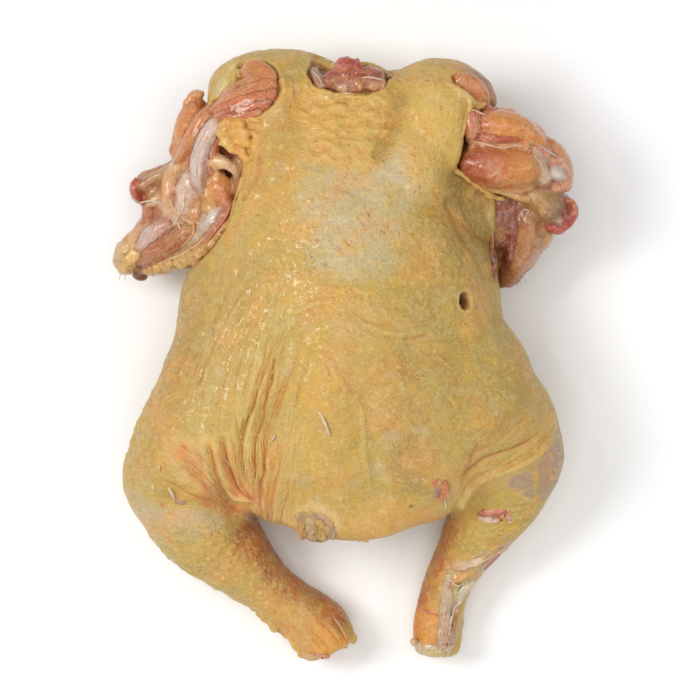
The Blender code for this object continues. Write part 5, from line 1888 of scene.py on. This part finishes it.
def skin_body(heap, lobes, seed, shade_tone=SKIN_FURROW_SHADE, highlight_tone=SKIN_CREST_HIGHLIGHT, lift=-0.6):
    """Lobes welded and painted for the skin's material, with a few pores and no creases."""
    tree = meat_body(heap, lobes, seed, shade_tone=shade_tone, highlight_tone=highlight_tone, lift=lift)
    count = len(heap.points[-1])
    heap.marks[-1] = np.tile((0.3, 9.0, 0.0), (count, 1))
    return tree


tail_lobes = []
for index, (x, size) in enumerate(TAIL_LUMPS):
    y, z = edge_of(x, -1)
    knots = (
        (x - 0.4, y + 4, z + 4, size, size),
        (x, y + 1.2, z + 1.6, size, size),
        (x + 0.5, y - size, z - 0.4, size * 0.7, size * 0.8),
    )
    tail_lobes.append(Lobe(((234, 176, 96), (240, 190, 108)), 0.2, 0.8, 0.5, knots))
torn = Heap(SKIN_DEPTH)
skin_body(torn, TORN_SKIN, 1100)
skin_body(torn, tail_lobes, 1200)
torn.piece("torn_skin", SKIN)

# %% [markdown]
# ## The neck stump
#
# The neck was cut off between the shoulders. Red ends of muscle stand in the hollow, with a dark red
# spike, pale lumps of gristle and fat, and grey membrane at both sides.

# %% Neck stump
NECK = (
    Lobe(((204, 84, 76), (214, 100, 84)), 0.3, 0.9, 1.0,
        ((-5.4, 124, 2.4, 3), (-1, 126.4, 3.4, 4), (4.6, 127.6, 3.0, 4))),
    Lobe(((216, 96, 84), (196, 70, 66)), 0.3, 0.9, 1.0,
        ((-3.6, 129.6, 2.0, 2.6), (0.6, 130.6, 2.4, 3), (4, 130.4, 1.8, 2.6))),
    Lobe(((176, 40, 42), (186, 34, 38), (160, 24, 34)), 0.2, 0.3, 1.0,
        ((6.4, 124.6, 2.2, 3), (6.4, 128, 1.9, 3), (6.3, 130.8, 1.3, 2.6), (6.1, 133.2, 0.6, 1.6))),
    Lobe(((212, 116, 104), (206, 110, 100)), 0.3, 0.9, 1.0,
        ((9, 126.6, 2.2, 3), (12.6, 126.4, 2.8, 3.6), (17, 124.8, 2.2, 3))),
    Lobe(((222, 186, 150), (224, 196, 170), (206, 160, 130)), 0.2, 0.8, 1.0,
        ((-4.4, 120.2, 2.0, 2.6), (-0.6, 119.6, 3.0, 3.4), (4, 119.2, 2.4, 3))),
    Lobe(((232, 192, 104), (222, 160, 90)), 0.2, 0.6, 1.0,
        ((6.8, 123, 1.5, 2.6), (7, 120, 1.8, 3), (7.2, 117, 1.5, 2.4))),
    Lobe(((222, 168, 132), (214, 156, 122), (200, 150, 130)), 0.2, 0.9, 1.0,
        ((9.4, 120.6, 2.4, 3), (13.6, 120.4, 3.4, 3.8), (18.2, 121.2, 2.4, 3))),
    Lobe(((196, 166, 146), (180, 150, 132)), 0.2, 0.7, 1.0,
        ((18.6, 125.6, 1.4, 2), (21, 125.2, 1.6, 2.4), (23.4, 124, 1.1, 2))),
    Lobe(((188, 158, 142), (180, 144, 124), (186, 140, 112)), 0.5, 0.3, 1.0,
        ((-13.4, 129, 2.0, 2.2), (-12, 125.4, 2.6, 2.6), (-10, 121, 2.4, 2.4), (-8, 118.6, 1.6, 2))),
    Lobe(((180, 92, 66), (190, 96, 70)), 0.6, 0.5, 1.0,
        ((-9, 124, 3, 2.6), (0, 122, 5, 2.6), (10, 123, 5, 2.6), (18, 124, 3, 2.6))),
)
NECK_BITS = (
    ((244, 232, 216), 5.6, 125.4, 0.8), ((240, 214, 190), -1.4, 128, 0.7),
    ((236, 200, 120), 1.6, 122.4, 1.0), ((238, 204, 130), -4.4, 122.4, 0.9),
    ((230, 150, 130), 11, 124.4, 0.8), ((240, 220, 190), 15.4, 123, 0.8), ((150, 40, 36), 8.6, 124.6, 0.9),
    ((146, 44, 36), 2.8, 124.6, 0.8), ((236, 196, 120), 17.4, 119.6, 0.9),
)


def add_bits(heap, bits, tree, seed):
    """Small round lumps on a surface, given as (tone, x, y, radius)."""
    for index, (tone, x, y, radius) in enumerate(bits):
        end = radius * 0.8
        knots = (
            (x - 0.5 * radius, y, end, radius),
            (x, y + 0.1, radius, radius),
            (x + 0.5 * radius, y, end, radius),
        )
        add_lobe(heap, Lobe((tone,), 0, 0.5, 1.0, knots), seed + index, tree=tree, lift=0.2, step=0.4)


neck = Heap()
neck_tree = meat_body(neck, NECK, 1300)
add_bits(neck, NECK_BITS, neck_tree, 1350)
add_threads(neck, (
    (((246, 226, 206),), 0.2, 1.0, ((-4, 117.4, 0.4, 0.4), (0, 116.8, 0.5, 0.5), (5, 116.6, 0.4, 0.4))),
    (((240, 214, 196),), 0.2, 1.0, ((8, 123.4, 0.3, 0.4), (12, 123.6, 0.5, 0.5), (17, 122.6, 0.4, 0.4))),
    (((220, 200, 190),), 0.2, 1.0, ((-14, 127, 0.4, 0.4), (-11, 124, 0.5, 0.5), (-9, 119.6, 0.4, 0.4))),
), neck_tree, 1380)
neck.piece("neck_stump", MEAT)

# %% [markdown]
# ## Scars, the tail gland and the bare tendons
#
# The oil gland was cut out of the tail, which left a rough pit of grey, brown and olive. On the right
# drumstick lies a small open wound, and below it the skin is torn off a strip of tendons. The knees and
# the rump carry scars.

# %% Scars, gland and tendons
GLAND = (
    Lobe(((180, 106, 80), (160, 92, 72)), 0.5, 0.5, 0.7,
        ((-19, -69.8, 1.7, 1.2), (-18.4, -73, 2.0, 1.5), (-18.6, -77.4, 1.9, 1.6),
        (-18.2, -80.6, 1.4, 1.5))),
    Lobe(((190, 160, 138), (196, 166, 146), (180, 146, 128)), 0.3, 0.5, 0.6,
        ((-15.2, -68.8, 1.6, 1.1), (-14.4, -72, 2.2, 1.4), (-14.6, -76.2, 2.3, 1.6),
        (-14, -80.4, 1.9, 1.6))),
    Lobe(((188, 156, 122), (160, 120, 62), (190, 162, 140)), 0.3, 0.5, 0.6,
        ((-10.8, -69.8, 1.6, 1.1), (-9.8, -73, 2.2, 1.4), (-9.6, -76.8, 2.4, 1.6),
        (-9.2, -80.8, 1.9, 1.6))),
    Lobe(((186, 150, 158), (170, 132, 142), (170, 134, 128)), 0.3, 0.5, 0.7,
        ((-12, -68.2, 1.2, 1.0), (-8.2, -69.6, 1.5, 1.3), (-5.4, -72.8, 1.6, 1.4), (-4.2, -76, 1.5, 1.4),
        (-4.8, -80.4, 1.2, 1.4))),
    Lobe(((150, 100, 76), (120, 80, 62)), 0.3, 0.5, 0.7,
        ((-16.6, -80.8, 1.1, 1.5), (-11, -81.4, 1.3, 1.6), (-6, -81.0, 1.2, 1.5))),
)
GLAND_BITS = (
    ((60, 44, 38), -11.4, -74, 0.55), ((160, 110, 44), -8.2, -73.4, 0.6), ((190, 96, 80), -13, -77.6, 0.6),
    ((184, 90, 76), -10.2, -78.4, 0.5), ((240, 228, 212), -16, -76, 0.6), ((240, 228, 214), -7, -77, 0.6),
    ((236, 222, 200), -13.6, -70.4, 0.6), ((230, 212, 186), -16.8, -72.4, 0.5),
    ((242, 232, 216), -12.4, -79.8, 0.5),
)
WOUND = (
    Lobe(((240, 206, 200), (248, 226, 220), (242, 196, 186)), 0.4, 0.7, 1.0,
        ((59.2, -71.2, 1.4, 0.9), (63, -71.4, 2.4, 1.2), (67.6, -72, 2.4, 1.2), (70.6, -71.8, 1.6, 1.0))),
    Lobe(((214, 70, 58), (236, 150, 136), (222, 90, 72)), 0.4, 0.6, 1.0,
        ((59.4, -69.8, 0.8, 0.8), (63.4, -68.8, 1.6, 1.0), (67.6, -68.4, 1.7, 1.0), (71.4, -67.8, 1.4, 0.9),
        (74, -67.8, 0.8, 0.8))),
    Lobe(((240, 160, 150), (246, 200, 192)), 0.3, 0.6, 1.0,
        ((70.6, -69.4, 1.6, 0.9), (73.6, -70.4, 2.0, 1.1), (74.4, -73.2, 1.6, 0.9))),
    Lobe(((206, 40, 40), (214, 60, 52)), 0.3, 0.6, 1.0,
        ((66, -70, 0.6, 0.9), (69.6, -70.4, 1.0, 1.2), (71.4, -72.2, 0.9, 1.1))),
)
WOUND_BITS = (
    ((190, 40, 40), 72.4, -70.6, 0.8), ((196, 46, 42), 71, -72.6, 0.7), ((196, 54, 48), 66.4, -69.6, 0.6),
    ((246, 234, 222), 74.6, -73.4, 0.7), ((250, 236, 226), 62.4, -71.6, 0.7),
    ((246, 228, 216), 66.6, -72, 0.7), ((190, 44, 42), 61.4, -70.2, 0.5), ((206, 70, 60), 69.6, -71.4, 0.5),
)
TENDONS = (
    Lobe(((232, 200, 172), (240, 220, 202), (228, 190, 156), (214, 164, 110)), 0.3, 0.5, 0.9,
        ((65, -89.2, 1.8, 0.9), (58.6, -92, 3.0, 1.0), (52, -94, 3.0, 1.0), (47.4, -95, 1.8, 0.8))),
    Lobe(((230, 180, 110), (230, 168, 84), (220, 160, 90)), 0.3, 0.5, 0.8,
        ((61, -96.6, 1.4, 1.1), (55.4, -97.6, 2.6, 1.4), (50.6, -100.6, 2.6, 1.4),
        (48.4, -105.6, 1.6, 1.1))),
    Lobe(((236, 232, 220), (216, 220, 200), (222, 220, 208)), 0.2, 0.3, 1.0,
        ((60.4, -101, 1.3, 1.2), (56.6, -103.2, 2.4, 1.5), (53.6, -107, 2.4, 1.7), (52, -112, 1.7, 1.5),
        (51.2, -116, 1.2, 1.2))),
    Lobe(((228, 206, 176), (216, 198, 176), (212, 196, 180)), 0.5, 0.4, 0.9,
        ((47.6, -97, 1.8, 1.2), (47, -106, 2.8, 1.5), (46.2, -115, 3.0, 1.6), (45.2, -124, 2.8, 1.6),
        (44.6, -133, 2.2, 1.6))),
    Lobe(((198, 140, 80), (186, 120, 66), (170, 116, 84)), 0.5, 0.4, 0.8,
        ((52, -112, 1.2, 1.2), (50.8, -117, 1.8, 1.5), (50, -123, 1.8, 1.5), (49.4, -128, 1.3, 1.2))),
    Lobe(((206, 206, 190), (170, 176, 170), (214, 206, 180), (232, 190, 110)), 0.3, 0.6, 1.0,
        ((48.8, -124, 1.5, 1.2), (48.6, -129, 2.2, 1.6), (47, -133, 2.2, 1.8), (46, -136.4, 1.6, 1.6))),
)
PAD_RIM = (
    Lobe(((222, 206, 174), (230, 212, 184), (216, 196, 164)), 0.2, 1.0, 0.7,
        ((31.6, -128.6, 1.0, 1.2), (33.6, -130.4, 1.6, 1.5), (37, -131.6, 1.9, 1.6), (41, -131.8, 1.9, 1.6),
        (44, -132.4, 1.3, 1.4))),
    Lobe(((226, 110, 62), (230, 130, 70), (214, 120, 66)), 0.3, 0.5, 0.6,
        ((33.6, -113.6, 0.6, 0.9), (37, -115.2, 0.8, 1.0), (41, -116.6, 0.8, 1.0),
        (44.4, -117.6, 0.6, 0.9))),
)
TENDON_BITS = (
    ((72, 66, 64), 49.2, -117, 0.6), ((76, 70, 66), 49.6, -122, 0.6), ((60, 56, 58), 47, -130.6, 0.7),
    ((220, 110, 96), 49.2, -130.4, 0.8), ((236, 190, 96), 46, -134.6, 1.0),
    ((248, 238, 222), 56.4, -92.2, 0.9),
)
TENDON_THREADS = (
    (((248, 240, 224),), 0.2, 1.0,
        ((54, -110.4, 0.4, 0.5), (50.6, -114, 0.6, 0.7), (48.8, -120, 0.6, 0.7), (47.8, -127, 0.4, 0.5))),
    (((244, 234, 214),), 0.2, 1.0,
        ((46.6, -111, 0.3, 0.4), (45.6, -118, 0.5, 0.5), (45, -124, 0.5, 0.5), (44.2, -130.6, 0.3, 0.4))),
    (((130, 94, 60),), 0.1, 0.8,
        ((51, -108.4, 0.3, 0.3), (53.2, -104.2, 0.5, 0.4), (57.6, -101.2, 0.3, 0.3))),
    (((160, 112, 126),), 0.1, 0.8, ((71, -88.6, 0.4, 0.3), (67, -92.4, 0.6, 0.5), (63.6, -96, 0.4, 0.3))),
    (((244, 226, 204),), 0.1, 0.8, ((74, -85.4, 0.3, 0.3), (68, -89, 0.5, 0.4), (62, -92.4, 0.4, 0.3))),
    (((248, 240, 226),), 0.2, 1.0, ((48, -100, 0.3, 0.4), (52, -103.4, 0.4, 0.4), (58, -100.6, 0.3, 0.4))),
)
SCARS = (
    Lobe(((196, 168, 158), (170, 130, 120)), 0.3, 0.6, 0.9,
        ((-78, -59, 0.8, 0.9), (-75, -61.8, 1.2, 1.1), (-71, -63.4, 1.2, 1.1), (-69, -61.4, 0.8, 0.9))),
    Lobe(((186, 150, 130), (200, 170, 150)), 0.3, 0.6, 0.9,
        ((-76, -63, 0.6, 0.9), (-73, -64.4, 0.8, 1.1), (-70, -64.4, 0.6, 0.9))),
    Lobe(((206, 110, 66), (226, 120, 64), (220, 110, 60)), 0.3, 1.0, 0.8,
        ((44.6, -52.6, 1.0, 0.9), (44.4, -56.6, 2.0, 1.1), (43.2, -60, 2.2, 1.1), (41.6, -63.4, 1.1, 0.9))),
    Lobe(((176, 146, 136), (166, 132, 126)), 0.3, 0.8, 0.9,
        ((42.4, -53, 0.9, 0.9), (41, -57, 1.4, 1.1), (40, -61.4, 0.9, 0.9))),
    Lobe(((232, 200, 150),), 0.3, 0.8, 0.9,
        ((45.6, -53, 0.6, 0.8), (46.6, -57, 0.8, 0.9), (46, -61, 0.6, 0.8))),
    Lobe(((206, 60, 36), (214, 80, 48)), 0.1, 0.4, 1.0,
        ((-13.6, 50.4, 0.6, 0.8), (-13.3, 51.2, 0.8, 0.9), (-13, 52.2, 0.5, 0.7))),
    Lobe(((214, 84, 46), (140, 44, 30), (216, 90, 50)), 0.1, 0.4, 1.0,
        ((6.8, 9.6, 0.6, 0.8), (7.7, 10, 0.9, 0.9), (8.6, 10.6, 0.6, 0.8))),
)
HOCK = (
    Lobe(((214, 120, 100), (232, 150, 130), (222, 130, 110)), 0.4, 0.7, 1.0,
        ((-16.4, -133.4, 0.8, 1.3), (-12.6, -134.6, 1.2, 1.6), (-9, -135.4, 1.1, 1.6),
        (-6.6, -136, 0.7, 1.2))),
    Lobe(((206, 190, 166), (196, 176, 150), (214, 200, 176)), 0.4, 0.4, 0.8,
        ((-4.8, -117.4, 0.5, 1.0), (-3, -120, 0.8, 1.2), (-0.6, -123.4, 0.8, 1.2), (1.4, -127, 0.5, 1.0))),
)


def patch_body(heap, lobes, bits, seed):
    """A thin body of meat that lies half sunk in the skin, with bits on it."""
    tree = meat_body(heap, lobes, seed, soften_steps=4, lift=-0.3)
    add_bits(heap, bits, tree, seed + 50)
    return tree


marks_heap = Heap()
patch_body(marks_heap, PAD_RIM, (), 1450)
patch_body(marks_heap, WOUND, WOUND_BITS, 1500)
tendon_tree = patch_body(marks_heap, TENDONS, TENDON_BITS, 1600)
add_threads(marks_heap, TENDON_THREADS, tendon_tree, 1680)
patch_body(marks_heap, SCARS, (), 1700)
patch_body(marks_heap, HOCK, (((206, 60, 46), -9.6, -136.4, 0.6), ((222, 96, 42), -1, -117.2, 1.0)), 1800)
marks_heap.piece("scars_and_tendons", MEAT)
gland = Heap(SKIN_DEPTH)
# The gland's furrows get a dark painted shade and its crests a pale painted highlight.
gland_tree = skin_body(gland, GLAND, 1400, shade_tone=(100, 66, 56), highlight_tone=(216, 196, 176), lift=-0.62)
add_bits(gland, GLAND_BITS, gland_tree, 1420)
gland.marks[1:] = [np.tile((0.0, 9.0, 0.0), (len(marks), 1)) for marks in gland.marks[1:]]
gland.piece("tail_gland", SKIN)

# %% [markdown]
# ## Quills
#
# Plucking leaves short quills: some lie flat, some stand. Each is a thin cone that starts under the
# skin and ends free, a little bent.

# %% Quills
# Each quill: x and y of its root, x and y of its end, and half its width.
QUILLS = (
    (-16, 45.6, -14.4, 43.4, 0.35), (-14.4, 43.4, -12.6, 43, 0.35), (16, 56, 17, 53.4, 0.35),
    (-14.6, 20.6, -12.6, 18.6, 0.25), (-7.4, -5, -6.6, -7.6, 0.25), (-10.6, -22.4, -5.8, -33.7, 0.75),
    (-32, -36.4, -29.4, -32.6, 0.45), (-33, -38, -32, -36.4, 0.4), (-74.6, -24.7, -71.4, -24.5, 0.35),
    (-83.6, -34.7, -81.4, -35.3, 0.35), (-84, -32, -83, -34, 0.25), (-81.6, -46, -81, -49.6, 0.5),
    (-77.6, -56.4, -74.6, -62.6, 0.7), (-84.6, -54.6, -84, -59, 0.45), (-40, 30, -41.4, 27.6, 0.2),
    (20, -36, 22, -40, 0.2), (44, -61, 45.4, -67, 0.45), (7.2, 9.6, 8.4, 10.8, 0.2),
    (27, 20, 29, 18.4, 0.2), (-3, -12, -1.4, -14.4, 0.2), (10, -20, 11.6, -23, 0.2),
    (-22, -14, -20.6, -17, 0.2), (34, -6, 36, -8, 0.2), (-52, -44, -50, -47.6, 0.2),
    (-60, -70, -57.6, -76, 0.25), (14, 30, 15.6, 27.6, 0.2), (-29, 60, -28, 57.4, 0.2),
    (33, 44, 34.4, 41.6, 0.2),
)
quills = Heap()
for index, (x1, y1, x2, y2, width) in enumerate(QUILLS):
    z1, z2 = top_of(skin_tree, x1, y1), top_of(skin_tree, x2, y2)
    middle = ((x1 + x2) / 2 + 0.3, (y1 + y2) / 2, (z1 + z2) / 2 + 0.5 + width, width, width)
    root = (x1, y1, z1 - 0.5, width * 0.8, width * 0.8)
    end = (x2, y2, z2 + width + 0.3, width * 0.45, width * 0.45)
    knots = (root, middle, end)
    add_lobe(quills, Lobe(((236, 222, 180), (246, 240, 224)), 0, 0, 0.6, knots), index, step=0.5)
LONG_QUILLS = (
    ((-91.8, 70, 40, 0.3, 0.3), (-86, 70.6, 46, 0.45, 0.45), (-79, 68.6, 46, 0.5, 0.5)),
    ((-97, 51, 36, 0.3, 0.3), (-92, 52.4, 38, 0.3, 0.3), (-88, 51.6, 38, 0.25, 0.25)),
    ((-95, 44, 34, 0.25, 0.25), (-96, 41, 34, 0.25, 0.25), (-95.4, 37.6, 30, 0.2, 0.2)),
    ((-99, 43, 33, 0.25, 0.25), (-101, 39, 31, 0.2, 0.2), (-102, 35.6, 27, 0.15, 0.15)),
    ((-97.4, 42, 33, 0.25, 0.25), (-98.6, 38.4, 31, 0.2, 0.2), (-99.6, 35.4, 27, 0.15, 0.15)),
    ((79, 40, 38, 0.25, 0.25), (81, 37.6, 36, 0.2, 0.2), (82.6, 34.6, 32, 0.15, 0.15)),
    ((78, 39, 37, 0.25, 0.25), (79.4, 36, 35, 0.2, 0.2), (81, 33.4, 31, 0.15, 0.15)),
    ((77, 38, 36, 0.25, 0.25), (78, 35, 33, 0.2, 0.2), (79.4, 32.6, 29, 0.15, 0.15)),
)
for index, knots in enumerate(LONG_QUILLS):
    add_lobe(quills, Lobe(((238, 226, 190), (248, 244, 232)), 0, 0, 0.6, knots), 60 + index, step=0.5)
quills.piece("quills", MEAT)


# %% [markdown]
# ## Table, light and camera
#
# The bird is seen from straight above through a long lens, which keeps its sides parallel. Big soft
# lamps on both sides, the left one stronger, keep the shadows pale and show the folds.

# %% Table
LENS = 150.0
SENSOR = 36.0
VIEW_WIDTH = 315.0
AIM = (2.9, 3.8, 40.0)
TABLE_SIZE = 6.0
TABLE_GAP = 0.0004
LAMP_AIM = Vector((0, 0, 0.04))


def plain_material(name, colour, roughness):
    material = bpy.data.materials.new(name)
    material.use_nodes = True
    shader = material.node_tree.nodes["Principled BSDF"]
    shader.inputs["Base Color"].default_value = (*colour, 1)
    shader.inputs["Roughness"].default_value = roughness
    return material


def table_top():
    bpy.ops.mesh.primitive_plane_add(size=TABLE_SIZE, location=(0, 0, -TABLE_GAP))
    top = bpy.context.object
    top.name = "table_top"
    top.data.materials.append(plain_material("pale table", (0.93, 0.93, 0.93), 0.8))
    return top


table_top()
print("table top:", TABLE_SIZE, "m wide")


# %% Lamps and camera
def lamp(name, place, size, power):
    """A square soft lamp that points at the middle of the bird."""
    data = bpy.data.lights.new(name, "AREA")
    data.size = size
    data.energy = power
    obj = bpy.data.objects.new(name, data)
    obj.location = place
    obj.rotation_euler = (LAMP_AIM - Vector(place)).to_track_quat("-Z", "Y").to_euler()
    bpy.context.scene.collection.objects.link(obj)
    return obj


lamp("left softbox", (-0.75, 0.15, 1.0), 0.45, 7.0)
lamp("right softbox", (0.95, 0.1, 0.8), 0.7, 2.6)
lamp("small lamp", (-0.45, 0.35, 1.1), 0.12, 0.9)
lamp("low softbox", (-0.1, -0.95, 0.75), 0.6, 2.4)
lamp("top softbox", (0.0, 0.0, 1.45), 0.8, 4.6)

world = bpy.data.worlds.new("studio")
world.use_nodes = True
world.node_tree.nodes["Background"].inputs["Color"].default_value = (1, 1, 1, 1)
world.node_tree.nodes["Background"].inputs["Strength"].default_value = 0.44
bpy.context.scene.world = world
bpy.context.scene.view_settings.view_transform = "Standard"

camera_data = bpy.data.cameras.new("overhead camera")
camera_data.lens = LENS
camera_data.sensor_width = SENSOR
camera = bpy.data.objects.new("overhead camera", camera_data)
camera.location = (AIM[0] * MM, AIM[1] * MM, (VIEW_WIDTH * LENS / SENSOR + AIM[2]) * MM)
bpy.context.scene.collection.objects.link(camera)
bpy.context.scene.camera = camera
print("camera:", round(camera.location.z, 2), "m up, with a", LENS, "mm lens")
